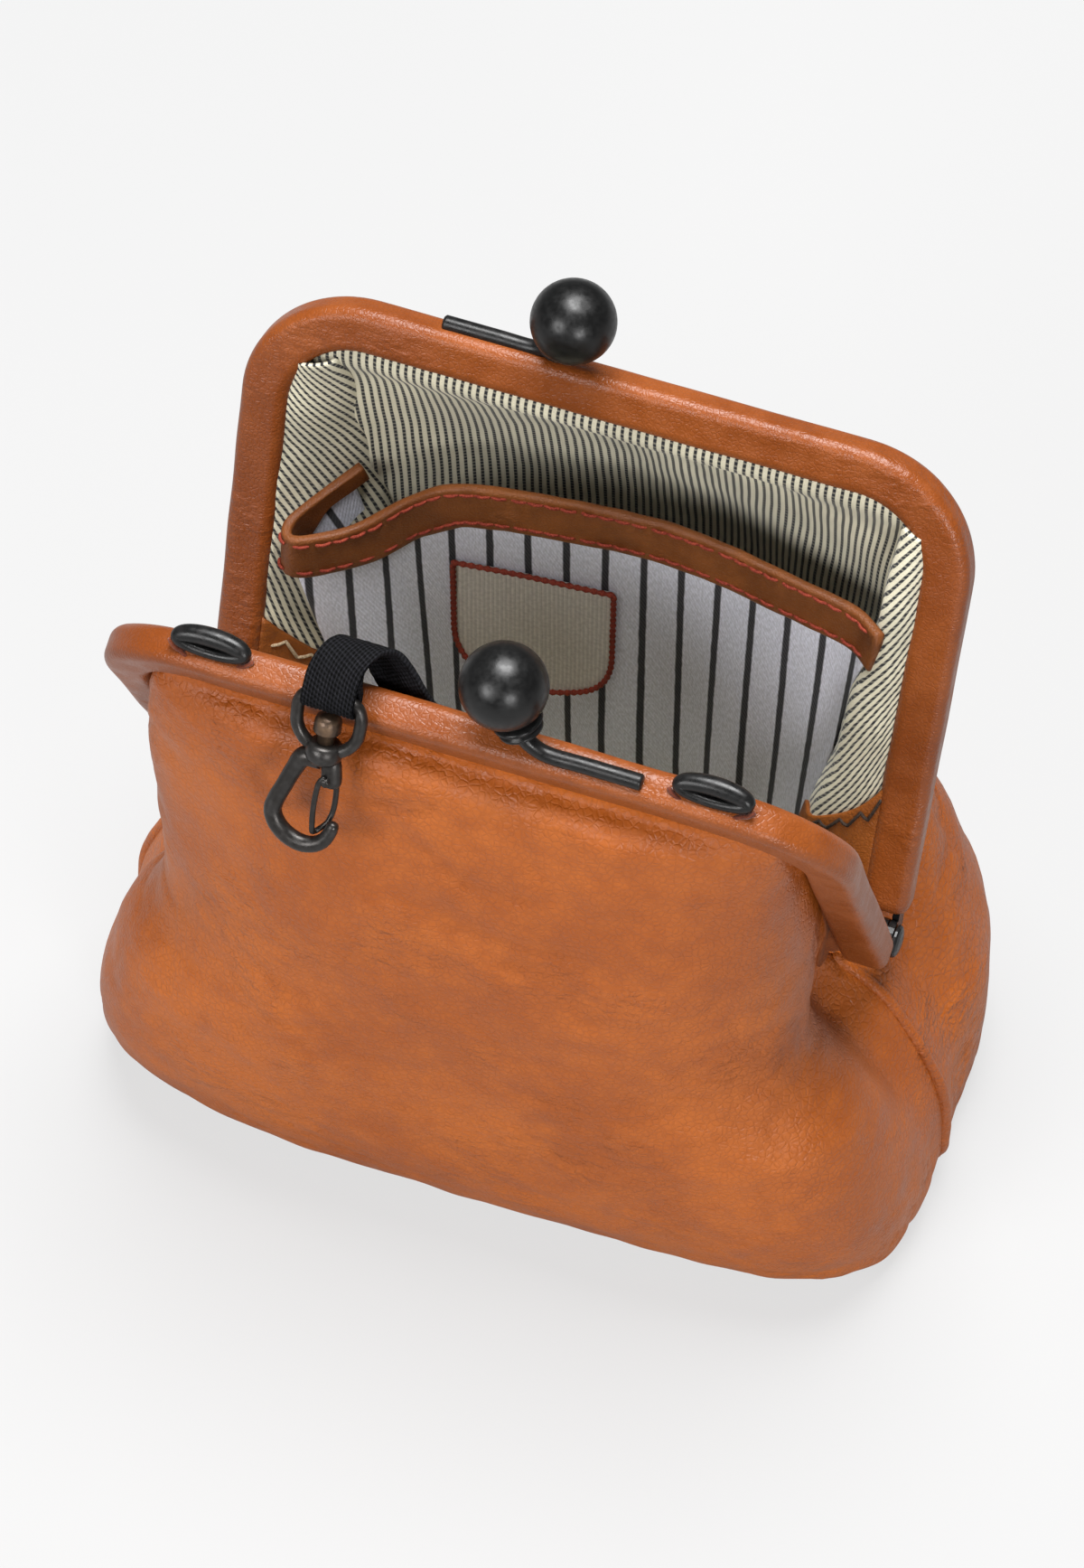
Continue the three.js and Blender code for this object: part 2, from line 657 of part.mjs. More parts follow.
function upperLiningSurface(half) {
  const inset = leather + liningClear;
  const edgeX = legInner - panelEdgeClear - inset;
  const top = frameHeight - barWidth - liningTopDrop;
  const centreLine = new THREE.QuadraticBezierCurve3(
    new THREE.Vector3(0, -(neckHalfDepth - inset), hingeHeight + gap),
    new THREE.Vector3(0, -(neckHalfDepth + half.bulge - inset), hingeHeight + panelBulgeUp - barWidth),
    onHalf(half, 0, top, barMiddle),
  );
  const edgeLine = new THREE.CatmullRomCurve3([
    new THREE.Vector3(edgeX, -panelEdgeFront, hingeHeight + gap),
    onHalf(half, edgeX, frameHeight / 2, panelEdgeOut),
    onHalf(half, edgeX - liningTopDrop, frameHeight - frameCorner, barMiddle),
    onHalf(half, frameWidth / 2 - frameCorner, top, barMiddle),
  ]);
  return pillow(centreLine, edgeLine, half.lobe);
}

// Slip pocket, drawn from its left to its right as seen from the mouth

function pocketPoint(across, up) {
  const share = (up - pocketBottom) / (pocketTop - pocketBottom);
  const halfWidth = THREE.MathUtils.lerp(pocketLowHalfWidth, pocketTopHalfWidth, Math.min(1, share));
  const bow = pocketMiddleY - (pocketMiddleY - pocketSideY) * Math.abs(across) ** 2.5;
  const back = pocketCurveBack * Math.max(0, 1 - share) ** 4;
  return new THREE.Vector3(halfWidth * across, bow + back, up);
}

// A sheet on the pocket's surface, with its depths measured backwards from the pocket's front face
function pocketSheet(left, right, low, high, columns, rows, nearDepth, farDepth) {
  const pointAt = (u, v) => pocketPoint(
    THREE.MathUtils.lerp(left, right, u), THREE.MathUtils.lerp(low, high, v));
  return sheet(pointAt, columns, rows, nearDepth, farDepth);
}

// The pouch

const pouch = new THREE.Group();

function piece(parent, name, geometry, material) {
  const mesh = new THREE.Mesh(welded(geometry), material);
  mesh.geometry.computeVertexNormals();
  mesh.name = name;
  parent.add(mesh);
  return mesh;
}

function halfGroup(half) {
  const group = new THREE.Group();
  group.position.z = hingeHeight;
  group.rotation.set(half.tilt, 0, half.turn, 'ZYX');
  pouch.add(group);
  return group;
}

function addClasp(group, side) {
  piece(group, `${side}_clasp_arm`, claspArm(armRadius, 0), blackMetal);
  piece(group, `${side}_clasp_collar`, claspCollar(), blackMetal);
  piece(group, `${side}_clasp_ball`, claspBall(), blackMetal);
}

function addUpperPanel(half, panelName, liningName) {
  const turned = new THREE.Group();
  turned.rotation.z = half.turn;
  pouch.add(turned);
  piece(turned, panelName, sheet(upperPanelSurface(half), 22, 8, 0, leather), bodyLeather);
  piece(turned, liningName, sheet(upperLiningSurface(half), 20, 7, 0, lining), ticking);
}

function addFrontHalf() {
  const group = halfGroup(front);
  const armSlot = claspArm(armRadius + gap, gap);
  const eyeletSlots = [-1, 1].map((sideX) => eyeletRing(sideX, gap));
  piece(group, 'front_frame_steel', frameSteel(steelOuterX - lugThickness - gap), blackMetal);
  piece(group, 'front_frame_wrap', frameWrap(armSlot, ...eyeletSlots, strapNotch()), wrapLeather);
  addClasp(group, 'front');
  piece(group, 'left_strap_eyelet', strapEyelet(-1), blackMetal);
  piece(group, 'right_strap_eyelet', strapEyelet(1), blackMetal);
  piece(group, 'key_strap', keyStrap(), webbing);
  addUpperPanel(front, 'front_panel_upper', 'front_lining_upper');
}

function addRearHalf() {
  const group = halfGroup(rear);
  piece(group, 'rear_frame_steel', frameSteel(steelOuterX), blackMetal);
  piece(group, 'rear_frame_wrap', frameWrap(claspArm(armRadius + gap, gap)), wrapLeather);
  addClasp(group, 'rear');
  piece(group, 'right_hinge_rivet', hingeRivet(-1), blackMetal);
  piece(group, 'left_hinge_rivet', hingeRivet(1), blackMetal);
  addUpperPanel(rear, 'back_panel_upper', 'back_lining_upper');
  addPocket();
}

function addPocket() {
  const pocket = pocketSheet(-1, 1, pocketBottom, pocketTop, 16, 7, 0, pocketThickness);
  const bindingLow = pocketTop + gap;
  const bindingNear = (pocketThickness - bindingThickness) / 2;
  const binding = pocketSheet(
    -1, 1, bindingLow, bindingLow + bindingHeight, 16, 1, bindingNear, bindingNear + bindingThickness);
  const [left, right] = [-1, 1].map((side) => (patchAside + (side * patchWidth) / 2) / pocketTopHalfWidth);
  const patchFar = -patchClear;
  const patch = pocketSheet(left, right, patchBottom, patchTop, 5, 4, patchFar - patchThickness, patchFar);
  piece(pouch, 'slip_pocket', pocket, twill);
  piece(pouch, 'pocket_binding', binding, bindingLeather);
  piece(pouch, 'pocket_patch', patch, patchCloth);
}

function addBody() {
  const side = sideSeamAngle;
  const liningNear = leather + liningClear;
  const liningFar = liningNear + lining;
  const facingNear = liningFar + liningClear;
  const facingFar = facingNear + facingThickness;
  const panel = (from, to) => lowerSheet(from, to, 0, 24, 8, 0, leather);
  const cloth = (from, to) => lowerSheet(from, to, lowerLiningShare, 22, 7, liningNear, liningFar);
  const facing = (from, to) => lowerSheet(from, to, facingLowShare, 4, 2, facingNear, facingFar);
  piece(pouch, 'front_panel_lower', panel(-side, side), bodyLeather);
  piece(pouch, 'back_panel_lower', panel(side, 3 * side), bodyLeather);
  piece(pouch, 'front_lining_lower', cloth(-side, side), ticking);
  piece(pouch, 'back_lining_lower', cloth(side, 3 * side), ticking);
  piece(pouch, 'right_side_facing', facing(facingStart, facingEnd), bindingLeather);
  piece(pouch, 'left_side_facing', facing(-facingEnd, -facingStart), bindingLeather);
  const discInset = leather + gap;
  piece(pouch, 'base_panel', baseDisc(discInset, 0, leather), bodyLeather);
  const baseLining = baseDisc(discInset + leather, leather + gap, leather + gap + lining);
  piece(pouch, 'base_lining', baseLining, ticking);
}

function addHook() {
  const hook = new THREE.Group();
  hook.position.copy(onHalf(front, strapOffset, eyeAxisUp, eyeAxisOut));
  hook.rotation.x = -hookLean;
  pouch.add(hook);
  piece(hook, 'hook_eye', hookEye(), darkMetal);
  piece(hook, 'swivel_post', swivelPost(), darkMetal);
  piece(hook, 'hook_body', hookBody(), darkMetal);
  piece(hook, 'gate_pin', gatePin(), darkMetal);
  piece(hook, 'hook_gate', hookGate(), darkMetal);
}

addBody();
addFrontHalf();
addRearHalf();
addHook();

export default pouch;
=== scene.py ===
import json
import math

import bpy
import numpy as np
from mathutils import Matrix, Vector, noise


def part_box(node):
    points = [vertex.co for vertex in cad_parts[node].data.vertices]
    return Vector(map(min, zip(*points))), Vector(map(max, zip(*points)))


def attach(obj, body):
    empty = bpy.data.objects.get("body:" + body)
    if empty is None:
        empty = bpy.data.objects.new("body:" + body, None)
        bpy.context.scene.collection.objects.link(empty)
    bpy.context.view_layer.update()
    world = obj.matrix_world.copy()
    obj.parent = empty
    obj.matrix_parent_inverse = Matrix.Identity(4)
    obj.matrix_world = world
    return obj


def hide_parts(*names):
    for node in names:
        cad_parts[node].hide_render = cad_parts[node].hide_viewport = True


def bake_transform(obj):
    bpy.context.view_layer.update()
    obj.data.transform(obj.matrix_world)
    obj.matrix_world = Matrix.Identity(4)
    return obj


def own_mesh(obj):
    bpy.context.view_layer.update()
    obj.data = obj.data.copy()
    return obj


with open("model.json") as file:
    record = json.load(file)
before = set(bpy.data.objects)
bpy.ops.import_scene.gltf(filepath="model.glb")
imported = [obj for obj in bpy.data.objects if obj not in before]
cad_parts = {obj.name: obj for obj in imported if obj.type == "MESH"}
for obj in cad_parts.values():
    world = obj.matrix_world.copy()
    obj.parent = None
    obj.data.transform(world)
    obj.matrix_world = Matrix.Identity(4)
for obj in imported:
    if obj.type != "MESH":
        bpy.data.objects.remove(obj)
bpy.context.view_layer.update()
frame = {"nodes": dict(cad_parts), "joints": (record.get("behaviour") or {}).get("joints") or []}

# Sizes are in millimetres, and meshes are made in metres
MM = 0.001

# The frame halves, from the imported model
joints = {joint["name"]: joint for joint in frame["joints"]}
HINGE_UP = joints["front_frame_hinge"]["pos_m"][2] / MM
FRONT_TILT = math.radians(-joints["front_frame_hinge"]["range_deg"][0])
REAR_TILT = math.radians(joints["rear_frame_hinge"]["range_deg"][1])
FRAME_HALF_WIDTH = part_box("front_frame_wrap")[1].x / MM
FRAME_HEIGHT = 107.5
FRAME_CORNER = 25
BAR_WIDTH = 10
BAR_NEAR = 0.2
BAR_FAR = 7.9
BAR_MIDDLE = (BAR_NEAR + BAR_FAR) / 2
BAR_ROUNDING = 2.4
LEG_END = 5

# The photograph's camera: its height angle, its turn to the right, its distance and its lens
CAMERA_HEIGHT_ANGLE = math.radians(54)
CAMERA_TURN = math.radians(20.2)
CAMERA_DISTANCE = 1167
CAMERA_ASIDE = -1.0
CAMERA_UP = 10.6
CAMERA_LENS = 132.9
CAMERA_SENSOR = 36

# Thicknesses of the soft materials
LEATHER = 1.6
LINING = 0.7
TWILL = 0.6

# A frame half: its tilt, and the way it faces
FRONT = (FRONT_TILT, -1)
REAR = (REAR_TILT, 1)
BODY = {FRONT: "front_frame", REAR: "rear_frame"}


# Places

def on_half(half, along, up, out):
    """A place on a frame half: along the mouth, up from the hinge and out of the mouth plane."""
    tilt, facing = half
    y = facing * (up * math.sin(tilt) + out * math.cos(tilt))
    z = HINGE_UP + up * math.cos(tilt) - out * math.sin(tilt)
    return np.stack(np.broadcast_arrays(along, y, z), axis=-1).astype(float)


def spline(knots, count):
    """Points on a smooth curve through the knots, evenly spread between them."""
    knots = np.asarray(knots, float)
    padded = np.vstack([2 * knots[0] - knots[1], knots, 2 * knots[-1] - knots[-2]])
    places = np.linspace(0, len(knots) - 1, count)
    index = np.minimum(places.astype(int), len(knots) - 2)
    t = (places - index)[:, None]
    a, b, c, d = (padded[index + i] for i in range(4))
    return 0.5 * (2 * b + (c - a) * t + (2 * a - 5 * b + 4 * c - d) * t**2
                  + (3 * b - a - 3 * c + d) * t**3)


def distances(path):
    """How far along a path each of its points lies."""
    return np.concatenate([[0], np.cumsum(np.linalg.norm(np.diff(path, axis=0), axis=1))])


def even(path, count):
    """The same path with its points at even distances."""
    path = np.asarray(path, float)
    along = distances(path)
    places = np.linspace(0, along[-1], count)
    return np.stack([np.interp(places, along, path[:, i]) for i in range(path.shape[1])], axis=-1)


def circle_angles(count):
    return np.arange(count) * 2 * math.pi / count


def unit(vectors):
    vectors = np.asarray(vectors, float)
    return vectors / np.maximum(np.linalg.norm(vectors, axis=-1, keepdims=True), 1e-9)


def smooth_step(low, high, value):
    t = np.clip((np.asarray(value, float) - low) / (high - low), 0, 1)
    return t * t * (3 - 2 * t)


def hump(value, centre, width):
    return np.exp(-(((np.asarray(value, float) - centre) / width) ** 2))


def soft_noise(points, size, seed):
    """Smooth noise from about -1 to 1 at each point, with lumps of that size."""
    flat = np.asarray(points, float).reshape(-1, 3) / size + seed
    values = [noise.noise(Vector(place)) for place in flat]
    return np.array(values).reshape(np.shape(points)[:-1])


# Meshes

def new_piece(name, vertices, faces, material, flat=None):
    """A smooth mesh piece. flat gives each vertex's place on the flat sheet, in millimetres."""
    mesh = bpy.data.meshes.new(name)
    mesh.from_pydata((np.asarray(vertices, float) * MM).tolist(), [], faces)
    mesh.polygons.foreach_set("use_smooth", [True] * len(mesh.polygons))
    if flat is not None:
        corners = np.zeros(len(mesh.loops), int)
        mesh.loops.foreach_get("vertex_index", corners)
        layer = mesh.uv_layers.new(name="flat")
        layer.data.foreach_set("uv", np.asarray(flat, np.float32)[corners].ravel())
    mesh.materials.append(material)
    mesh.update()
    piece = bpy.data.objects.new(name, mesh)
    bpy.context.scene.collection.objects.link(piece)
    return piece


def grid_faces(rows, columns, closed=False, start=0):
    faces = []
    for r in range(rows - 1):
        for c in range(columns if closed else columns - 1):
            after = (c + 1) % columns
            here, above = start + r * columns, start + (r + 1) * columns
            faces.append((here + c, here + after, above + after, above + c))
    return faces


def closed_grid(rings):
    """Rings as a grid whose last column lies on its first one."""
    rings = np.array(rings)
    return np.concatenate([rings, rings[:, :1]], axis=1)


def grid_normals(grid):
    return unit(np.cross(np.gradient(grid, axis=1), np.gradient(grid, axis=0)))


def flat_places(grid):
    """Each grid point's place on the flat sheet: across from the middle column, and up the middle."""
    across = np.linalg.norm(np.diff(grid, axis=1), axis=2)
    across = np.concatenate([np.zeros((len(grid), 1)), np.cumsum(across, axis=1)], axis=1)
    middle = grid.shape[1] // 2
    across -= across[:, middle:middle + 1]
    up = distances(grid[:, middle])
    return np.stack([across, np.broadcast_to(up[:, None], across.shape)], axis=-1)


def shell(name, grid, thickness, material, flat=None):
    """A sheet with its outer face on the grid, thickened inwards, against its normals."""
    rows, columns = grid.shape[:2]
    inner = grid - grid_normals(grid) * thickness
    vertices = np.concatenate([grid.reshape(-1, 3), inner.reshape(-1, 3)])
    far = rows * columns
    faces = grid_faces(rows, columns)
    faces += [tuple(reversed(face)) for face in grid_faces(rows, columns, start=far)]
    ring = list(range(columns))
    ring += [r * columns + columns - 1 for r in range(1, rows)]
    ring += [(rows - 1) * columns + c for c in range(columns - 2, -1, -1)]
    ring += [r * columns for r in range(rows - 2, 0, -1)]
    for here, after in zip(ring, ring[1:] + ring[:1]):
        faces.append((after, here, far + here, far + after))
    places = flat_places(grid) if flat is None else flat
    return new_piece(name, vertices, faces, material, np.tile(places.reshape(-1, 2), (2, 1)))


def rings_mesh(name, rings, material, closed_path=False):
    """A closed skin through rings of points, with a fan at each end unless the path is a loop."""
    rings = np.asarray(rings, float)
    count, sides = rings.shape[:2]
    vertices = rings.reshape(-1, 3)
    faces = grid_faces(count, sides, closed=True)
    last, ends = (count - 1) * sides, count * sides
    if not closed_path:
        vertices = np.vstack([vertices, rings[0].mean(axis=0), rings[-1].mean(axis=0)])
    for c in range(sides):
        after = (c + 1) % sides
        if closed_path:
            faces.append((last + c, last + after, after, c))
        else:
            faces += [(after, c, ends), (last + c, last + after, ends + 1)]
    return new_piece(name, vertices, faces, material)


def path_frames(path, hint=(0, 0, 1)):
    """Two directions across a path at each point, turning as little as they can."""
    tangent = unit(np.gradient(path, axis=0))
    side = unit(np.cross(tangent[0], hint))
    sides = []
    for direction in tangent:
        side = unit(side - direction * np.dot(side, direction))
        sides.append(side)
    sides = np.array(sides)
    return sides, np.cross(tangent, sides)


def tube_rings(path, radii, sides=16, squeeze=1.0, hint=(0, 0, 1)):
    """Rings round a path. squeeze narrows them across the second direction."""
    across, over = path_frames(path, hint)
    radii = np.broadcast_to(radii, len(path))
    angles = circle_angles(sides)
    round_part = np.cos(angles)[None, :, None] * across[:, None] + (
        squeeze * np.sin(angles)[None, :, None] * over[:, None])
    return path[:, None] + radii[:, None, None] * round_part


def rounded_ends(path, radius, steps=4):
    """A path and its radii, drawn out at both ends into round caps."""
    start, end = unit(path[0] - path[1]), unit(path[-1] - path[-2])
    angles = np.linspace(0, math.pi / 2, steps + 1)[1:]
    before = [path[0] + start * radius * math.sin(a) for a in angles[::-1]]
    after = [path[-1] + end * radius * math.sin(a) for a in angles]
    caps = [radius * max(math.cos(a), 0.02) for a in angles]
    radii = np.concatenate([caps[::-1], np.full(len(path), radius), caps])
    return np.vstack([before, path, after]), radii


def lathe_rings(profile, centre, axis, sides=40):
    """Rings of a turned shape: profile is a list of (radius, height along the axis)."""
    axis = unit(axis)
    side = unit(np.cross(axis, (0.3, 0.5, 0.8)))
    over = np.cross(axis, side)
    angles = circle_angles(sides)
    circle = np.cos(angles)[:, None] * side + np.sin(angles)[:, None] * over
    return np.array([np.asarray(centre) + axis * height + max(radius, 0.01) * circle
                     for radius, height in profile])


def joined(name, pieces):
    """Several pieces made into one, which keeps the first one's material slots."""
    bpy.ops.object.select_all(action="DESELECT")
    for piece in pieces:
        piece.select_set(True)
    bpy.context.view_layer.objects.active = pieces[0]
    bpy.ops.object.join()
    pieces[0].name = name
    return pieces[0]


def stand_in(nodes):
    """Hides the solids that a piece stands for."""
    if nodes:
        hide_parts(*nodes)


def finish_piece(piece, slot_name, body, *nodes):
    """Finishes a piece that one body carries."""
    stand_in(nodes)
    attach(piece, body)


def finish_bent(piece, slot_name, body, *nodes):
    """Finishes a soft piece that reaches from the pouch to a frame half: hides the solids that it stands
    for and bakes its place into its mesh.
    """
    stand_in(nodes)
    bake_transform(piece)


def flatten(piece, half, held):
    """Works out the normal of a frame half and a held place, which are not used, and gives a piece its own
    mesh.
    """
    normal = on_half(half, 0, 0, 1) - on_half(half, 0, 0, 0)
    anchor = on_half(half, *held) * MM
    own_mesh(piece)


# Materials

def shade_of(colour, share):
    return tuple(part * share for part in colour)


class Graph:
    """A material's nodes, with short ways to add and join them."""

    def __init__(self, name):
        self.material = bpy.data.materials.new(name)
        self.material.use_nodes = True
        self.tree = self.material.node_tree
        self.shader = self.tree.nodes["Principled BSDF"]

    def put(self, node, name, value):
        if isinstance(value, bpy.types.NodeSocket):
            self.tree.links.new(value, node.inputs[name])
        else:
            node.inputs[name].default_value = value

    def add(self, kind, settings, inputs):
        node = self.tree.nodes.new("ShaderNode" + kind)
        for name, value in settings.items():
            setattr(node, name, value)
        for name, value in inputs.items():
            self.put(node, name, value)
        return node

    def place(self):
        """Places in millimetres on the piece."""
        return self.scaled(self.add("TexCoord", {}, {}).outputs["Object"], 1 / MM)

    def flat(self):
        """Places in millimetres on the flat sheet."""
        return self.add("UVMap", {"uv_map": "flat"}, {}).outputs["UV"]

    def scaled(self, vector, factor):
        return self.add("VectorMath", {"operation": "SCALE"}, {0: vector, "Scale": factor}).outputs[0]

    def parts(self, vector):
        return self.add("SeparateXYZ", {}, {0: vector}).outputs

    def math(self, operation, a, b, clamp=False):
        return self.add("Math", {"operation": operation, "use_clamp": clamp}, {0: a, 1: b}).outputs[0]

    def plus(self, a, b):
        return self.math("ADD", a, b)

    def times(self, a, b):
        return self.math("MULTIPLY", a, b)

    def ramp(self, value, low, high, start=0.0, end=1.0):
        inputs = {"Value": value, "From Min": low, "From Max": high, "To Min": start, "To Max": end}
        return self.add("MapRange", {"interpolation_type": "SMOOTHSTEP"}, inputs).outputs[0]

    def mix(self, share, a, b):
        """A blend of two colours, each one a socket or its red, green and blue."""
        first, second = ((*colour, 1) if isinstance(colour, tuple) else colour for colour in (a, b))
        return self.add("Mix", {"data_type": "RGBA"}, {0: share, 6: first, 7: second}).outputs[2]

    def noise(self, place, size, detail=2.0, stretch=(1, 1, 1)):
        """Noise with lumps of that size in millimetres, longer where stretch is bigger."""
        scale = tuple(1 / (size * longer) for longer in stretch)
        moved = self.add("Mapping", {}, {"Vector": place, "Scale": scale}).outputs[0]
        return self.add("TexNoise", {}, {"Vector": moved, "Scale": 1.0, "Detail": detail}).outputs[0]

    def wander(self, place, size, detail, reach):
        """Noise about zero, for lines that don't run quite straight."""
        return self.times(self.math("SUBTRACT", self.noise(place, size, detail), 0.5), reach)

    def cells(self, place, size):
        """The distance to the edges of cells of that size."""
        inputs = {"Vector": place, "Scale": 1 / size}
        return self.add("TexVoronoi", {"feature": "DISTANCE_TO_EDGE"}, inputs).outputs[0]

    def bump(self, height, depth, under=None):
        """A bump of that depth in millimetres, on top of another one."""
        node = self.add("Bump", {}, {"Height": height, "Strength": 1.0, "Distance": depth * MM})
        if under is not None:
            self.put(node, "Normal", under)
        return node.outputs[0]

    def stripe(self, value, pitch, share):
        """One on stripes that take that share of each pitch, and zero between them."""
        distance = self.math("PINGPONG", value, pitch / 2)
        half = share * pitch / 2
        return self.ramp(distance, half * 0.75, half * 1.25, 1.0, 0.0)

    def finish(self, colour, roughness, normal=None, **constants):
        self.put(self.shader, "Base Color", colour)
        self.put(self.shader, "Roughness", roughness)
        if normal is not None:
            self.put(self.shader, "Normal", normal)
        for name, value in constants.items():
            self.shader.inputs[name.replace("_", " ")].default_value = value
        return self.material


def leather(name, light, dark, grain=1.3, grain_depth=0.08, wrinkle=0.17, shine=0.44):
    """Full-grain leather: fine cells, soft wrinkles in patches, and uneven dye."""
    g = Graph(name)
    place = g.place()
    cloud = g.noise(place, 34, 3)
    mottle = g.noise(place, 5, 4)
    share = g.plus(g.times(cloud, 0.65), g.times(mottle, 0.35))
    colour = g.mix(g.ramp(share, 0.36, 0.66), dark, light)
    swirl = g.scaled(g.add("TexNoise", {}, {"Vector": place, "Scale": 0.5}).outputs[1], 10)
    bent = g.add("Mix", {"data_type": "VECTOR"}, {0: 0.06, 4: place, 5: swirl}).outputs[1]
    cells = g.ramp(g.cells(bent, grain), 0.0, 0.22)
    colour = g.mix(g.ramp(cells, 0.0, 1.0, 0.12, 0.0), colour, shade_of(dark, 0.45))
    patches = g.ramp(g.noise(place, 26, 2), 0.5, 0.66)
    folds = g.times(g.noise(place, 2.4, 3, (1.6, 1.6, 0.8)), patches)
    normal = g.bump(folds, wrinkle * 7)
    normal = g.bump(g.noise(place, 1.7, 3), wrinkle, normal)
    normal = g.bump(cells, grain_depth, normal)
    rough = g.ramp(mottle, 0.3, 0.7, shine - 0.05, shine + 0.08)
    return g.finish(colour, rough, normal, Specular_IOR_Level=0.34, Coat_Weight=0.02, Coat_Roughness=0.3)


def suede(name, light, dark, sheen=0.25):
    """Raw leather: a short, uneven nap without shine."""
    g = Graph(name)
    place = g.place()
    nap = g.noise(place, 0.7, 5)
    share = g.plus(g.times(g.noise(place, 7, 3), 0.6), g.times(nap, 0.4))
    colour = g.mix(g.ramp(share, 0.36, 0.64), dark, light)
    normal = g.bump(nap, 0.25)
    return g.finish(colour, 0.85, normal, Specular_IOR_Level=0.2, Sheen_Weight=sheen, Sheen_Roughness=0.5)


def ticking(name, ground, stripe, pitch):
    """Cream cotton with narrow dark stripes woven as rows of dots."""
    g = Graph(name)
    flat = g.flat()
    across, up, _ = g.parts(flat)
    line = g.stripe(g.plus(across, g.wander(flat, 9, 2, 0.5)), pitch, 0.42)
    dots = g.times(line, g.ramp(g.stripe(up, 0.95, 0.66), 0.0, 1.0, 0.72, 1.0))
    weave = g.math("MAXIMUM", g.stripe(across, 0.55, 0.5), g.stripe(up, 0.55, 0.5))
    shade = g.noise(flat, 20, 3)
    cloth = g.mix(g.ramp(shade, 0.35, 0.65), shade_of(ground, 0.8), ground)
    cloth = g.mix(g.times(weave, 0.14), cloth, shade_of(ground, 0.35))
    colour = g.mix(dots, cloth, stripe)
    normal = g.bump(weave, 0.06, g.bump(g.noise(flat, 1.2, 3), 0.1))
    return g.finish(colour, 0.85, normal, Specular_IOR_Level=0.2, Sheen_Weight=0.15)


def twill(name, ground, stripe, pitch=8.0):
    """Grey-white cotton with a diagonal rib and wide-spaced dark stripes."""
    g = Graph(name)
    flat = g.flat()
    across, up, _ = g.parts(flat)
    line = g.stripe(g.plus(across, g.wander(flat, 3, 3, 0.35)), pitch, 0.19)
    rib = g.stripe(g.plus(across, g.times(up, 0.6)), 0.8, 0.5)
    fleck = g.noise(flat, 0.45, 3, (1, 3, 1))
    cloth = g.mix(g.ramp(fleck, 0.35, 0.65), shade_of(ground, 0.8), ground)
    cloth = g.mix(g.times(rib, 0.16), cloth, shade_of(ground, 0.4))
    colour = g.mix(line, cloth, stripe)
    normal = g.bump(rib, 0.07, g.bump(fleck, 0.1))
    return g.finish(colour, 0.85, normal, Specular_IOR_Level=0.2, Sheen_Weight=0.15)


def ribbed_cloth(name, ground, shade):
    """Thick cotton with a vertical rib."""
    g = Graph(name)
    flat = g.flat()
    rib = g.stripe(g.parts(flat)[0], 0.9, 0.5)
    fleck = g.noise(flat, 0.9, 4)
    colour = g.mix(g.ramp(fleck, 0.3, 0.7), shade, ground)
    colour = g.mix(g.times(rib, 0.3), colour, shade_of(ground, 0.5))
    normal = g.bump(rib, 0.12, g.bump(fleck, 0.15))
    return g.finish(colour, 0.9, normal, Specular_IOR_Level=0.15)


def webbing(name, light, dark):
    """Black webbing: ribs across its width, crossed by a coarse weave, with a painted highlight on the
    raised ribs and weave.
    """
    g = Graph(name)
    flat = g.flat()
    across, along, _ = g.parts(flat)
    rib = g.stripe(across, 0.72, 0.55)
    weave = g.stripe(g.plus(along, g.times(across, 0.5)), 1.0, 0.5)
    fuzz = g.noise(g.place(), 0.35, 4)
    # The raised ribs and weave take the lighter colour: a painted highlight
    colour = g.mix(g.times(g.plus(rib, weave), g.times(fuzz, 0.6)), dark, light)
    normal = g.bump(rib, 0.4, g.bump(weave, 0.15, g.bump(fuzz, 0.2)))
    return g.finish(colour, 0.85, normal, Specular_IOR_Level=0.07)


def metal(name, light, dark, rough, metallic, speck=0.03, reflect=0.5):
    """Plated or painted metal, rubbed a little brighter in spots."""
    g = Graph(name)
    place = g.place()
    wear = g.noise(place, 2.2, 4)
    colour = g.mix(g.ramp(wear, 0.4, 0.75), dark, light)
    roughness = g.ramp(g.noise(place, 1.1, 3), 0.3, 0.7, rough - 0.06, rough + 0.08)
    normal = g.bump(g.noise(place, 0.5, 3), speck)
    return g.finish(colour, roughness, normal, Metallic=metallic, Specular_IOR_Level=reflect)


def thread(name, light, dark):
    """Twisted sewing thread."""
    g = Graph(name)
    place = g.place()
    along, _, up = g.parts(place)
    twist = g.stripe(g.plus(along, up), 0.5, 0.5)
    fuzz = g.noise(place, 0.4, 3)
    colour = g.mix(g.ramp(fuzz, 0.3, 0.7), dark, light)
    return g.finish(colour, 0.75, g.bump(twist, 0.12), Specular_IOR_Level=0.3)


TAN, DARK_TAN = (0.43, 0.108, 0.0125), (0.32, 0.073, 0.007)
BODY_LEATHER = leather("body_leather", TAN, DARK_TAN)
BACK_LEATHER = leather("back_leather", TAN, DARK_TAN, 1.6, 0.12, 0.22)
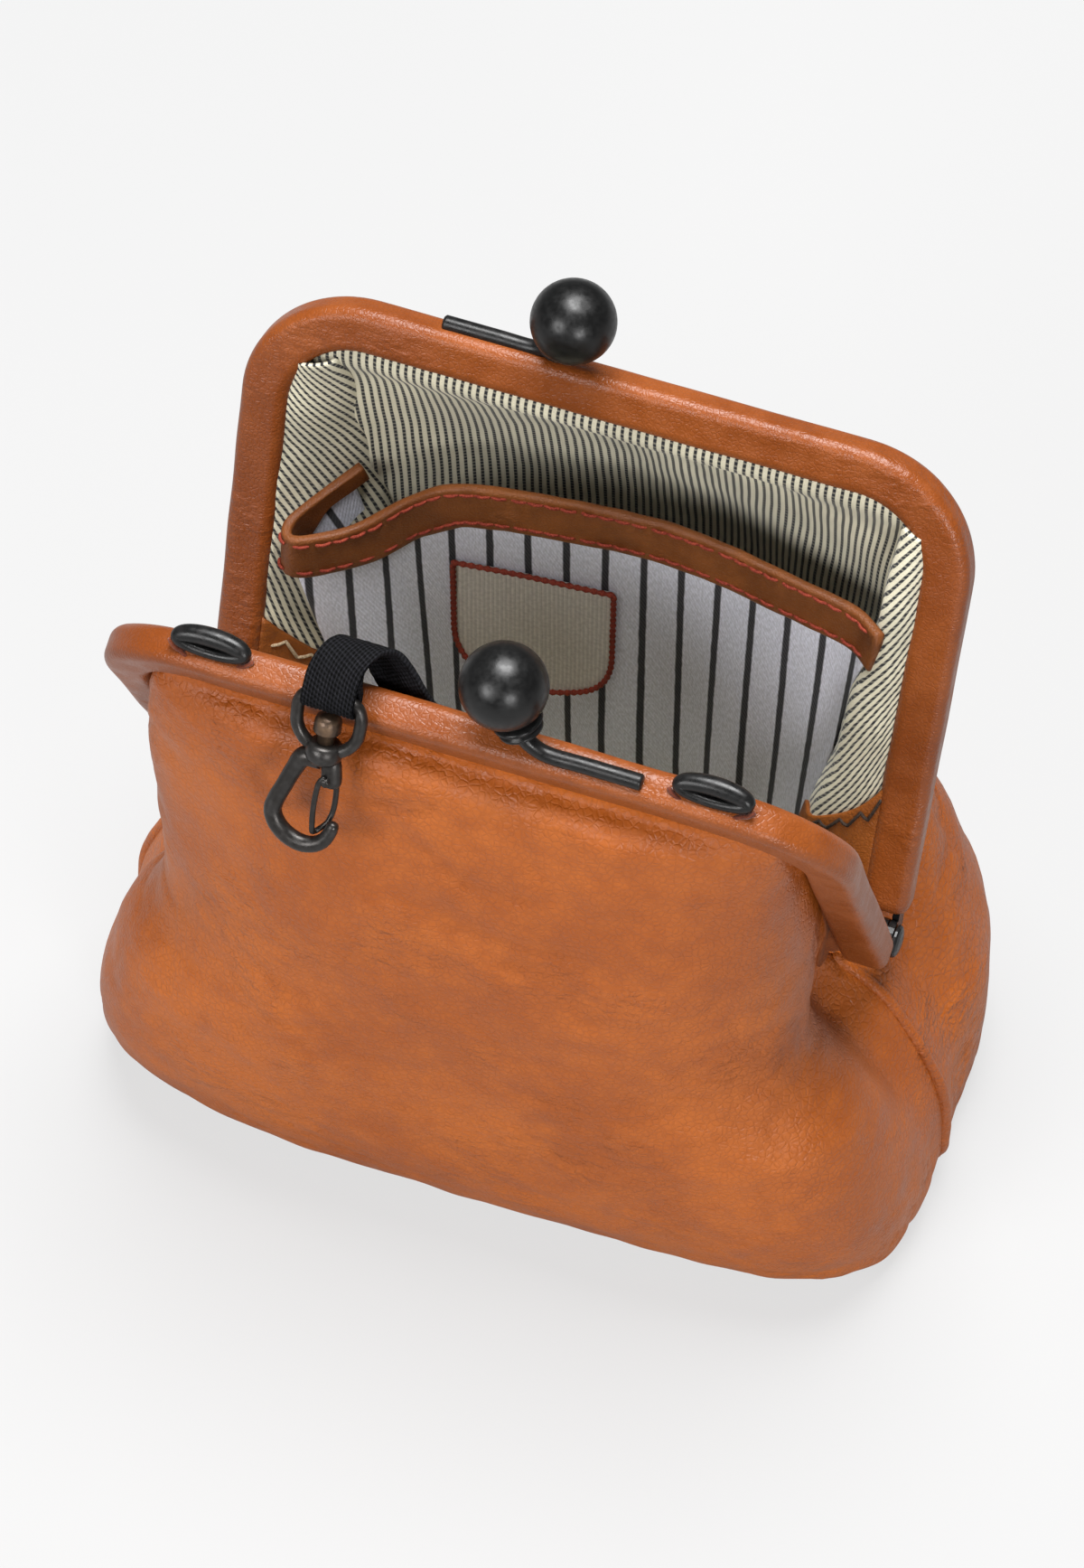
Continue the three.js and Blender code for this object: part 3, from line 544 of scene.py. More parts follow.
# The frame bars' leather is the body's hide, made darker and duller as painted shade for the bars' faces in
# shade
SHADED_WRAP_LEATHER = leather("wrap_leather", (0.26, 0.066, 0.0115), (0.19, 0.044, 0.007), 0.9, 0.04, 0.08, 0.36)
TURNED_SUEDE = suede("turned_suede", (0.26, 0.07, 0.016), (0.16, 0.04, 0.009), 0.03)
TORN_LEATHER = suede("torn_leather", (0.16, 0.035, 0.012), (0.07, 0.013, 0.006))
BINDING_LEATHER = leather("binding_leather", (0.21, 0.062, 0.01), (0.13, 0.036, 0.006),
                          0.8, 0.05, 0.08, 0.5)
FACING_LEATHER = leather("facing_leather", (0.3, 0.085, 0.011), (0.2, 0.052, 0.006), 0.8, 0.05, 0.1, 0.5)
TICKING = ticking("ticking", (0.80, 0.75, 0.57), (0.022, 0.023, 0.026), 1.65)
TWILL_CLOTH = twill("twill", (0.84, 0.86, 0.98), (0.030, 0.030, 0.036))
PATCH_CLOTH = ribbed_cloth("patch_cloth", (0.78, 0.74, 0.68), (0.64, 0.60, 0.55))
BLACK_METAL = metal("black_metal", (0.012, 0.011, 0.011), (0.006, 0.006, 0.006), 0.32, 0.0, 0.012, 0.32)
BLACK_BALL = metal("black_ball", (0.006, 0.006, 0.006), (0.004, 0.004, 0.004), 0.34, 0.0, 0.004, 0.34)
POST_METAL = metal("post_metal", (0.16, 0.10, 0.06), (0.07, 0.045, 0.03), 0.40, 0.7, 0.05)
DARK_METAL = metal("dark_metal", (0.052, 0.049, 0.047), (0.034, 0.031, 0.029), 0.36, 0.75, 0.002)
# Its lighter colour is the painted highlight on the raised ribs and weave
WEBBING = webbing("webbing", (0.022, 0.022, 0.026), (0.0015, 0.0015, 0.0015))
RED_THREAD = thread("red_thread", (0.30, 0.045, 0.02), (0.17, 0.02, 0.01))
PALE_THREAD = thread("pale_thread", (0.55, 0.42, 0.27), (0.35, 0.25, 0.15))
DARK_THREAD = thread("dark_thread", (0.05, 0.03, 0.02), (0.02, 0.012, 0.008))


# Leather body

# Both panels share these side seam knots: along, front to back, up
SEAM = [(84, -3, 0.8), (87.5, -4, 5), (89, -5, 12.5), (86.9, -5, 31.8), (75.1, -5, 55.5), (63.2, -5, 66)]
# The middle of each panel from the floor up: front to back, up
MIDDLE = {FRONT: [(-39, 0.8), (-45, 4), (-50, 10), (-56.5, 30), (-59.5, 55), (-60, 72), (-59.5, 85),
                  (-58.5, 105), (-56, 130), (-52.5, 150)],
          REAR: [(39, 0.8), (45, 4), (50, 10), (57, 30), (60.5, 55), (60.5, 72), (60, 85),
                 (59, 105), (56.5, 132), (51, 153)]}
# How far each panel bags out to the left and right beside the hinges, row by row
LOBES = {FRONT: ([0, 0, 0, 0, 5, 9, 9, 6, 5, 2, 0, 0], [0, 0, 0, 0, 6, 9, 6, 2, 0, 0, 0, 0]),
         REAR: ([0, 0, 0, 1, 5, 11, 8, 5, 3, 1, 0, 0],) * 2}
# How square the rows are
SQUARENESS = [4.6, 4.6, 4.6, 4.6, 4.4, 4.0, 3.8, 3.4, 3.2, 3.0, 3.0, 3.0]
# How deep the fold between each lobe and the side seam is
FOLD = [0, 0, 0, 1.5, 4, 4.5, 2.5, 0, 0, 0, 0, 0]
LOBE_ANGLE = math.radians(62)
LOBE_WIDTH = math.radians(18)
FOLD_ANGLE = math.radians(79)
FOLD_WIDTH = math.radians(6)
# Where each panel meets its frame legs: along and out
PANEL_TUCK = {FRONT: (64, 3), REAR: (67.5, 5)}
# Where each panel passes the hinges: along, front to back, up
PANEL_FOOT = {FRONT: (61, -8, 72), REAR: tuple(on_half(REAR, 62, 6, 3))}
# Where each panel meets the frame bar, at its corners and in the middle: along, up from the hinge, out
PANEL_CORNER = [(60, 96, 6.0), (56.5, 104, 5.6)]
PANEL_TOP = [(0, 97, 8.0), (0, 105, 7.0)]
# Lumps and creases of a panel: height or depth, size and seed step
PANEL_LUMPS = [(1.6, 30, 0), (0.5, 9, 3)]
PANEL_CREASES = [(0.9, 16, 7), (0.5, 7, 9)]
CREASE_STRETCH = np.array([0.7, 1.0, 1.4])
CREASE_SHARPNESS = 8
CREASE_PATCH = 45
# The raw edge beside each front leg
TURNED_BOTTOM = 68
TURNED_TOP = 134
TURNED_REACHES = (1.2, 2.4, 3.6)
TURNED_THICKNESS = 0.8
TURNED_LAP = 6
TURNED_OFF = 0.3
SEAM_RADIUS = 1.5
SEAM_INSET = 0.2
SEAM_UNEVEN = 0.15


def knot_rows(half, below, beside, middle, top):
    """Each row's side edge and middle: free below the hinges, and on the frame half above them."""
    edges = below + [tuple(on_half(half, *place)) for place in beside]
    centres = middle + [tuple(on_half(half, *place)[1:]) for place in top]
    return np.column_stack([edges, centres])


def panel_knots(half):
    tuck, out = PANEL_TUCK[half]
    beside = [(tuck - 0.5, 25, out), (tuck, 60, out), (tuck - 1, 85, out + 1)] + PANEL_CORNER
    return knot_rows(half, SEAM + [PANEL_FOOT[half]], beside, MIDDLE[half], PANEL_TOP)


def square_round(angles, power):
    """Sine and cosine of a round that is squarer the bigger the power is."""
    reach = (np.abs(np.sin(angles)) ** power + np.abs(np.cos(angles)) ** power) ** (-1 / power)
    return reach * np.sin(angles), reach * np.cos(angles)


def grid_from(knots, half, rows, columns):
    """A sheet from the floor to the frame bar. Each knot row holds an edge place, a middle place, a left
    and a right lobe, a squareness and a fold. The columns run so that the normals point out."""
    table = spline(knots, rows)
    along, edge_y, edge_z, middle_y, middle_z, left, right, square, fold = table.T[..., None]
    angles = np.linspace(-math.pi / 2, math.pi / 2, columns) * -half[1]
    across, forward = square_round(angles[None, :], square)
    x = along * across
    y = edge_y + (middle_y - edge_y) * forward
    z = edge_z + (middle_z - edge_z) * forward
    bag = np.where(angles < 0, left, right) * hump(np.abs(angles), LOBE_ANGLE, LOBE_WIDTH)
    bag = bag - fold * hump(np.abs(angles), FOLD_ANGLE, FOLD_WIDTH)
    x = x + np.sign(angles) * bag
    return np.stack([x, y, z], axis=-1)


def lumpy(grid, height, size, seed, fade=None):
    """The grid moved along its normals by soft lumps."""
    lumps = soft_noise(grid, size, seed) * height
    return grid + grid_normals(grid) * (lumps if fade is None else lumps * fade)[..., None]


def creased(grid, depth, size, seed, fade):
    """The grid with thin creases that wander across it, in patches."""
    lines = (1 - np.abs(soft_noise(grid * CREASE_STRETCH, size, seed))) ** CREASE_SHARPNESS
    patches = smooth_step(-0.05, 0.35, soft_noise(grid, CREASE_PATCH, seed + 2))
    return grid - grid_normals(grid) * (lines * patches * fade * depth)[..., None]


def loose(grid):
    """One where a sheet hangs free, fading to zero at the frame bar, at the floor and at its side edges."""
    rows = np.linspace(0, 1, len(grid))
    columns = np.abs(np.linspace(-1, 1, grid.shape[1]))
    share = smooth_step(0.02, 0.2, rows) * (1 - smooth_step(0.8, 0.93, rows))
    return share[:, None] * (1 - smooth_step(0.86, 0.98, columns))[None, :]


def make_panel(name, half, material, seed):
    knots = np.column_stack([panel_knots(half), *LOBES[half], SQUARENESS, FOLD])
    grid = grid_from(knots, half, 130, 190)
    free = loose(grid)
    for height, size, step in PANEL_LUMPS:
        grid = lumpy(grid, height, size, seed + step, free)
    for depth, size, step in PANEL_CREASES:
        grid = creased(grid, depth, size, seed + step, free)
    piece = shell(name, grid, LEATHER, material)
    finish_bent(piece, "body_leather", BODY[half], f"{name}_upper", f"{name}_lower")
    return grid


front_grid = make_panel("front_panel", FRONT, BODY_LEATHER, 11.3)
make_panel("back_panel", REAR, BACK_LEATHER, 27.9)


def make_turned_edge(name, side):
    """The raw edge of the front panel, turned in between it and a frame leg."""
    order = slice(None, None, side)
    panel = front_grid[:, order]
    outward = grid_normals(front_grid)[:, order]
    rows = (panel[:, -1, 2] > TURNED_BOTTOM) & (panel[:, -1, 2] < TURNED_TOP)
    lapped = (panel + outward * TURNED_OFF)[rows][:, -TURNED_LAP:]
    turned = [panel[rows, -1] + np.array([side * reach, 0.5 * reach, 0]) for reach in TURNED_REACHES]
    grid = np.concatenate([lapped, np.stack(turned, axis=1)], axis=1)
    grid = lumpy(grid[:, order], 0.3, 3.5, 19.0)
    piece = shell(f"{name}_turned_edge", grid, TURNED_THICKNESS, TURNED_SUEDE)
    finish_bent(piece, "body_leather", "front_frame")


def make_seam(name, side):
    """The ridge where the front and back panels are sewn together."""
    path = even(spline([(side * (along - SEAM_INSET), y, up) for along, y, up in SEAM[1:]], 200), 90)
    line, sizes = rounded_ends(path, SEAM_RADIUS)
    sizes = sizes * (1 + SEAM_UNEVEN * soft_noise(line, 5, 71.0))
    piece = rings_mesh(f"{name}_seam", tube_rings(line, sizes, 14), BODY_LEATHER)
    finish_piece(piece, "body_leather", "pouch")


for side_name, side_sign in (("left", -1), ("right", 1)):
    make_turned_edge(side_name, side_sign)
    make_seam(side_name, side_sign)


def make_base(name, up, inset, thickness, material, slot_name, node):
    """A flat disc inside the foot of the panels."""
    across, forward = square_round(np.linspace(0, 2 * math.pi, 121)[:-1], SQUARENESS[0])
    half_width = SEAM[0][0] - inset
    half_depth = -MIDDLE[FRONT][0][0] - inset
    rings = []
    for share in np.linspace(0.02, 1, 24):
        x = half_width * across * share
        y = half_depth * forward * share
        rings.append(np.stack([x, y, np.full_like(x, up)], axis=-1))
    grid = lumpy(closed_grid(rings), 0.3, 18, 5.0)
    piece = shell(name, grid, thickness, material, grid[..., :2])
    finish_piece(piece, slot_name, "pouch", node)
    return piece, grid


make_base("base_panel_leather", 1.9, 1.0, LEATHER, BODY_LEATHER, "body_leather", "base_panel")


# Frame bars

WRAP_LENGTH = 340
WRAP_END = 2.5
WRAP_END_SIZE = 0.55
WRAP_LUMP = 0.18
WRAP_SINK = 0.1


def arch_path(count):
    """The middle line of a frame half in its own plane, and the direction out of the arch."""
    middle = FRAME_HALF_WIDTH - BAR_WIDTH / 2
    turn = FRAME_CORNER - BAR_WIDTH / 2
    corner_up = FRAME_HEIGHT - FRAME_CORNER
    corner_along = FRAME_HALF_WIDTH - FRAME_CORNER
    angles = np.linspace(0, math.pi / 2, 24)
    right = [(middle, LEG_END)]
    right += [(corner_along + turn * math.cos(a), corner_up + turn * math.sin(a)) for a in angles]
    left = [(-along, up) for along, up in reversed(right)]
    path = even(np.array(right + left), count)
    tangent = unit(np.gradient(path, axis=0))
    return path, np.stack([tangent[:, 1], -tangent[:, 0]], axis=-1)


def bar_profile(width, thickness, rounding, steps=6):
    """A rectangle with round corners, as points across and out from its middle."""
    points = []
    for corner in range(4):
        across = (width / 2 - rounding) * (1 if corner in (0, 3) else -1)
        out = (thickness / 2 - rounding) * (1 if corner in (0, 1) else -1)
        for step in range(steps + 1):
            angle = (corner + step / steps) * math.pi / 2
            points.append((across + rounding * math.cos(angle), out + rounding * math.sin(angle)))
    return even(np.array(points + points[:1]), 64)[:-1]


def make_wrap(name, half, seed):
    path, outward = arch_path(360)
    profile = bar_profile(BAR_WIDTH, BAR_FAR - BAR_NEAR, BAR_ROUNDING)
    along = np.linspace(0, 1, len(path)) * WRAP_LENGTH
    from_end = np.minimum(along, along[-1] - along)
    ends = np.sqrt(np.clip(1 - (1 - np.clip(from_end / WRAP_END, 0, 1)) ** 2, 0.04, 1))
    rings = []
    for place, side, share in zip(path, outward, ends):
        size = WRAP_END_SIZE + (1 - WRAP_END_SIZE) * share
        x = place[0] + side[0] * profile[:, 0] * size
        up = place[1] + side[1] * profile[:, 0] * size
        rings.append(on_half(half, x, up, BAR_MIDDLE + profile[:, 1] * size))
    rings = np.array(rings)
    inward = unit(rings.mean(axis=1, keepdims=True) - rings)
    rings = rings + inward * (soft_noise(rings, 14, seed) * WRAP_LUMP + WRAP_SINK)[..., None]
    piece = rings_mesh(name, rings, SHADED_WRAP_LEATHER)
    finish_piece(piece, "wrap_leather", BODY[half], BODY[half] + "_wrap")


make_wrap("front_wrap", FRONT, 3.1)
make_wrap("rear_wrap", REAR, 8.4)


# Linings

LINING_DEEP = 3.0
LINING_FLOOR = 3.5


def inside_of(half):
    """The middle line of a panel's lower rows, moved inwards off the leather."""
    return [(y - half[1] * LINING_DEEP, max(z, LINING_FLOOR)) for y, z in MIDDLE[half][:7]]


LINING_SEAM = [(along - LINING_DEEP, y, max(up, LINING_FLOOR)) for along, y, up in SEAM]
LINING_MIDDLE = {REAR: inside_of(REAR) + [(55, 105), (51, 131), (44.5, 147)],
                 FRONT: inside_of(FRONT) + [(-54.5, 105), (-51, 130), (-46.5, 146)]}
LINING_LOBE = {REAR: [0, 0, 0, 0, 2, 4, 2, 0, 0, 0, 0, 0], FRONT: [0] * 12}
LINING_LUMP = 1.3
LINING_LUMP_SIZE = 16
# How round the rows of the linings are, and where they tuck in beside the frame legs: along and out
LINING_SQUARENESS = {REAR: [4.6, 4.6, 4.6, 4.6, 4.2, 3.2, 2.3, 1.9, 1.8, 1.8, 2.0, 2.4],
                     FRONT: [4.6, 4.6, 4.6, 4.6, 4.2, 3.4, 2.8, 2.6, 2.8, 3.0, 3.0, 3.0]}
LINING_TUCK = {REAR: (66.5, 3.0), FRONT: (62.3, 1.5)}


def lining_knots(half):
    """Rows of a lining: the seam below, and along the inner edge of the frame bar above."""
    tuck, out = LINING_TUCK[half]
    beside = [(tuck - 7, 6, 0.5), (tuck - 0.7, 25, out), (tuck, 58, out), (tuck - 0.4, 84, out),
              (tuck - 4, 94.5, out), (tuck - 9.5, 99, out)]
    top = [(0, 94, out + 1), (0, 99, out)]
    return knot_rows(half, LINING_SEAM, beside, LINING_MIDDLE[half], top)


def declare_cloth(grid, places=None):
    places = flat_places(grid) if places is None else places


def lining_flat(grid, skew):
    """Places on the flat lining. Its stripes lean over beside the frame legs, where it is drawn in."""
    places = flat_places(grid)
    share = places[..., 0] / np.abs(places[..., 0]).max()
    lean = np.sign(share) * smooth_step(0.45, 0.95, np.abs(share)) * skew
    places[..., 0] += lean * (places[..., 1] - places[..., 1].max())
    return places


def make_lining(name, half, skew, seed):
    lobe = LINING_LOBE[half]
    knots = np.column_stack([lining_knots(half), lobe, lobe, LINING_SQUARENESS[half], FOLD])
    grid = grid_from(knots, half, 110, 170)
    grid = lumpy(grid, LINING_LUMP, LINING_LUMP_SIZE, seed, loose(grid))
    piece = shell(name, grid, LINING, TICKING, lining_flat(grid, skew))
    finish_bent(piece, "ticking", BODY[half], f"{name}_upper", f"{name}_lower")
    declare_cloth(grid)


make_lining("back_lining", REAR, 0.5, 41.2)
make_lining("front_lining", FRONT, 0.3, 52.7)
base_cloth, base_grid = make_base("base_lining_cloth", 3.0, 4.0, LINING, TICKING, "ticking", "base_lining")
declare_cloth(base_grid, base_grid[..., :2])


# Stitches

STITCH_RADIUS = 0.36


def stitch(start, end, lift, material):
    """One sewn stitch: a short thread, arched out of the leather and sunk at both ends."""
    along = np.linspace(0, 1, 7)[:, None]
    path = start + (end - start) * along + lift * (np.sin(along * math.pi) * 0.35 - 0.15)
    path, radii = rounded_ends(path, STITCH_RADIUS, 2)
    return rings_mesh("stitch", tube_rings(path, radii, 6), material)


# Lining gussets beside the rear frame legs, with a leather facing on the foot of each one

# The inner fold of the right and left gusset from its foot up: along, front to back, up
GUSSET_FOLD = {1: [(46, 11, 62), (50, 14, 84), (53.6, 17, 99), (55.7, 21, 118.4), (58.5, 25, 134),
                   (60, 33.8, 158.5)],
               -1: [(-46, 20, 62), (-47, 24, 84), (-47, 31, 98), (-47.5, 40, 114), (-50, 43, 132),
                    (-56, 33.8, 158.5)]}
# Where the gusset leaves the frame leg: up from the hinge, for the same rows
LEG_ROWS = [-2, 16, 31, 50, 68, 92]
LEG_ALONG = 66
LEG_OUT = 2.5
GUSSET_STEPS = 400
GUSSET_COLUMNS = 26
GUSSET_PUFF = 1.6
GUSSET_TURN = 4
STRIPE_LEAN = 0.6
# The facing's height at the frame leg, as a share of the gusset's, and how much it drops to the fold
FACING_SHARE = {1: 0.44, -1: 0.40}
FACING_SLOPE = {1: 0.25, -1: 0.29}
FACING_THICKNESS = 1.0
FACING_SINK = 0.4


def gusset_grid(side, low, high, rows):
    """A sheet from the frame leg to the inner fold. low and high give each column's share of the height."""
    leg = spline([on_half(REAR, side * LEG_ALONG, up, LEG_OUT) for up in LEG_ROWS], GUSSET_STEPS + 1)
    fold = spline(GUSSET_FOLD[side], GUSSET_STEPS + 1)
    across = np.linspace(0, 1, GUSSET_COLUMNS)[None, :]
    share = low + (high - low) * np.linspace(0, 1, rows)[:, None]
    index = np.clip((share * GUSSET_STEPS).round().astype(int), 0, GUSSET_STEPS)
    index = np.broadcast_to(index, (rows, GUSSET_COLUMNS))
    grid = leg[index] + (fold[index] - leg[index]) * across[..., None]
    grid[..., 1] -= GUSSET_PUFF * np.sin(across * math.pi)
    grid[..., 1] += GUSSET_TURN * smooth_step(0.86, 1.0, across) ** 2
    return grid[:, ::side]


def zigzag(face, lift, material):
    """Stitches that run to and fro along the top of a facing."""
    stitches = []
    for column in range(1, GUSSET_COLUMNS - 4, 3):
        high, low = (-3, -6) if column % 2 else (-6, -3)
        stitches.append(stitch(face[high, column], face[low, column + 3], lift[-4, column], material))
    return stitches


def make_gusset(side, name, material):
    """A gusset's cloth, the leather facing on its foot and the stitches along the facing's top."""
    border = FACING_SHARE[side] - FACING_SLOPE[side] * np.linspace(0, 1, GUSSET_COLUMNS)[None, :]
    cloth = lumpy(gusset_grid(side, border - 0.05, 1.0, 90), 0.5, 9, 61.0)
    flat = flat_places(cloth)
    flat[..., 0] += side * STRIPE_LEAN * cloth[..., 2]
    lining = shell(f"{name}_gusset", cloth, LINING, TICKING, flat)
    finish_bent(lining, "ticking", "rear_frame")
    foot = gusset_grid(side, 0.0, border, 30)
    inward = -grid_normals(foot)
    foot = foot + inward * FACING_SINK
    facing = shell(f"{name}_facing", foot, FACING_THICKNESS, FACING_LEATHER)
    finish_bent(facing, "binding_leather", "rear_frame", f"{name}_side_facing")
    sewn = zigzag(foot + inward * (FACING_THICKNESS + 0.1), inward, material)
    finish_bent(joined(f"{name}_facing_stitches", sewn), "binding_leather", "rear_frame")
    declare_cloth(cloth)


make_gusset(1, "right", DARK_THREAD)
make_gusset(-1, "left", PALE_THREAD)


# Slip pocket: its top edge, from the loop at the left frame leg to the right one

POCKET_TOP = [(-52, 34, 127.5), (-57, 27, 125), (-61.3, 20.5, 122.5), (-60.3, 16, 122.5), (-55, 17.3, 123),
              (-47.5, 22.5, 124), (-40.5, 27.5, 128.5), (-32.5, 30, 133.5), (-22, 31.5, 135.5),
              (-9.9, 32.4, 136.5), (8.7, 34, 136.5), (24, 33, 136.5), (37, 30.4, 136.5), (47, 28.5, 136.5),
              (54.7, 26.3, 136.5), (60, 22.3, 136.5)]
BINDING_HEIGHT = 10.5
BINDING_THICKNESS = 2.2
BINDING_LEAN = (0, -0.15, -1)
POCKET_BOTTOM = 34
POCKET_TAPER = 13
LOOP_TAPER = 16
LOOP_BACK = 8
POCKET_TURN = 10
POCKET_WAVE = 1.2
POCKET_WAVES = 17
POCKET_NARROWING = 0.05
CLOTH_TUCK = 2.0
POCKET_HELD = (0, 60, 12)
BACK_TRIM = 6
BACK_SHARE = 0.10
STITCH_ROWS = (1.6, 8.7)
STITCH_PITCH = 3.6
STITCH_LENGTH = 2.7

pocket_top = even(spline(POCKET_TOP, 400), 180)
cloth_top = pocket_top[2:-2]


def pocket_taper(start, up):
    """How far the sides of the pocket draw in to the left and right below its top."""
    right = POCKET_TAPER * smooth_step(20, 60, start[:, 0])
    left = LOOP_TAPER * smooth_step(-30, -62, start[:, 0])
    return (1 - up) * (right - left)[None, :]


def pocket_grid(rows=60):
    """The pocket's cloth, hanging straight down from inside the binding and turned back at the bottom."""
    start = cloth_top + unit(BINDING_LEAN) * CLOTH_TUCK
    spread = np.linspace(-1, 1, len(start))
    up = np.linspace(0, 1, rows)[:, None]
    loop = smooth_step(-0.55, -1, spread)[None, :] * (1 - up)
    x = start[:, 0] * (1 - POCKET_NARROWING * (1 - up)) - pocket_taper(start, up)
    y = start[:, 1] + loop * LOOP_BACK + POCKET_TURN * (1 - up) ** 12
    y = y + POCKET_WAVE * np.sin(spread * POCKET_WAVES + 1) * smooth_step(0.9, 0.3, up)
    z = POCKET_BOTTOM + (start[:, 2] - POCKET_BOTTOM) * up
    return np.stack([x, y, z], axis=-1)[:, ::-1]


def pocket_flat(grid):
    """Places on the flat pocket: stripes follow the columns."""
    across = distances(cloth_top)[::-1]
    up = np.linspace(0, 1, len(grid))[:, None]
    return np.stack([across - pocket_taper(cloth_top, up)[:, ::-1], grid[..., 2]], axis=-1)


def pocket_frames(path):
    """The directions along, down and out of the mouth side of the pocket's binding."""
    tangent = unit(np.gradient(path, axis=0))
    down = np.broadcast_to(unit(BINDING_LEAN), tangent.shape)
    down = unit(down - tangent * np.sum(down * tangent, axis=1, keepdims=True))
    return tangent, down, unit(np.cross(down, tangent))


def finish_pocket(piece, slot_name, *nodes):
    """Finishes a piece of the pocket, which the rear frame half carries, and gives it its own mesh."""
    finish_piece(piece, slot_name, "rear_frame", *nodes)
    flatten(piece, REAR, POCKET_HELD)


def make_binding():
    """The folded strip over the pocket's top edge, narrower behind the loop, where its back shows."""
    _, down, out = pocket_frames(pocket_top)
    profile = bar_profile(BINDING_HEIGHT, BINDING_THICKNESS, 0.8)
    share = np.linspace(0, 1, len(pocket_top))
    heights = BINDING_HEIGHT - BACK_TRIM * smooth_step(BACK_SHARE + 0.04, BACK_SHARE - 0.04, share)
    drop = (heights / BINDING_HEIGHT)[:, None, None] * down[:, None]
    middle = pocket_top + down * heights[:, None] / 2
    rings = middle[:, None] + profile[None, :, :1] * drop + profile[None, :, 1:] * out[:, None]
    rings += out[:, None] * (soft_noise(rings, 6, 4.4) * 0.3)[..., None]
    finish_pocket(rings_mesh("binding", rings, BINDING_LEATHER), "binding_leather", "pocket_binding")


def make_binding_stitches():
    tangent, down, out = pocket_frames(pocket_top)
    length = distances(pocket_top)[-1]
    stitches = []
    for row in STITCH_ROWS:
        for i in range(int(BACK_SHARE * length / STITCH_PITCH) + 2, int(length / STITCH_PITCH)):
            index = int(i * STITCH_PITCH / length * (len(pocket_top) - 1))
            face = pocket_top[index] + down[index] * row + out[index] * (BINDING_THICKNESS / 2 + 0.1)
            half = tangent[index] * STITCH_LENGTH / 2
            stitches.append(stitch(face - half, face + half, out[index], RED_THREAD))
    finish_pocket(joined("binding_stitches", stitches), "binding_leather")


cloth = pocket_grid()
pocket = shell("pocket_cloth", cloth, TWILL, TWILL_CLOTH, pocket_flat(cloth))
finish_pocket(pocket, "twill", "slip_pocket")
declare_cloth(cloth)
make_binding()
make_binding_stitches()


# Sewn patch

PATCH_CENTRE = -14
PATCH_HALF_WIDTH = 16.5
PATCH_TOP = 112
PATCH_BOTTOM = 74
PATCH_OFF = 1.3
PATCH_THICKNESS = 0.5
# The middle of the pocket's face, which is free of its loop
POCKET_FACE_HALF = 44
BORDER_STEPS = 300
BORDER_RADIUS = 0.55
BORDER_SWELL = 0.14
BORDER_OFF = 0.3


def patch_row(along, up):
    """Places just off the mouth side of the pocket, at one height."""
    nearest = np.abs(cloth[:, cloth.shape[1] // 2, 2] - up).argmin()
    row = cloth[nearest]
    row = row[np.abs(row[:, 0]) < POCKET_FACE_HALF]
    row = row[np.argsort(row[:, 0])]
    y = np.interp(along, row[:, 0], row[:, 1]) - PATCH_OFF
    return np.column_stack([along, y, np.full(len(along), up)])


def patch_grid(rows=44, columns=40):
    """A shield: a straight top and sides, and a rounded point below."""
    grid = []
    for share in np.linspace(1, 0, rows):
        narrow = np.clip((share - 0.5) / 0.5, 0, 1)
        half = PATCH_HALF_WIDTH * max(1 - narrow ** 2.6, 0.004) ** 0.62
        up = PATCH_TOP - share * (PATCH_TOP - PATCH_BOTTOM)
        grid.append(patch_row(PATCH_CENTRE + half * np.linspace(-1, 1, columns), up))
    return np.array(grid)


def smooth_rows(grid, times=6):
    for _ in range(times):
        grid[1:-1, :, 1] = (grid[:-2, :, 1] + 2 * grid[1:-1, :, 1] + grid[2:, :, 1]) / 4
    return grid


def make_patch_border():
    """The overlock seam round the patch: a thread wound round its edge."""
    outline = np.vstack([patch_face[:, 0], patch_face[-1, 1:], patch_face[-2::-1, -1]])
    path = even(outline, BORDER_STEPS + 1)[:-1] - np.array([0, BORDER_OFF, 0])
    radii = BORDER_RADIUS + BORDER_SWELL * np.cos(np.arange(BORDER_STEPS) * math.pi / 2)
    rings = tube_rings(path, radii, 10, hint=(0, 1, 0))
    finish_pocket(rings_mesh("patch_border", rings, RED_THREAD, closed_path=True), "patch_cloth")


patch_face = smooth_rows(patch_grid())
patch = shell("patch", patch_face, PATCH_THICKNESS, PATCH_CLOTH)
finish_pocket(patch, "patch_cloth", "pocket_patch")
declare_cloth(patch_face)
make_patch_border()


# Ball clasps

BALL_RADIUS = 8.35
BALL_FLAT = 0.985
BALL_LIFT = 13.1
BALL_ASIDE = 8.45
BALL_OUT = -3.45
ARM_RADIUS = 1.6
ARM_UP = 0.5
ARM_BEND = 14
ARM_END = 36
ARM_CURVE = 3.4
NECK_DROPS = (13.2, 10.8)
# The collar under a ball: radius, and distance from the ball's middle
COLLAR = [(2.0, 7.9), (4.5, 8.2), (4.8, 8.7), (4.4, 9.2), (3.5, 9.5), (3.5, 9.8), (4.2, 10.1), (4.3, 10.6),
          (3.5, 11.0), (1.8, 11.2)]


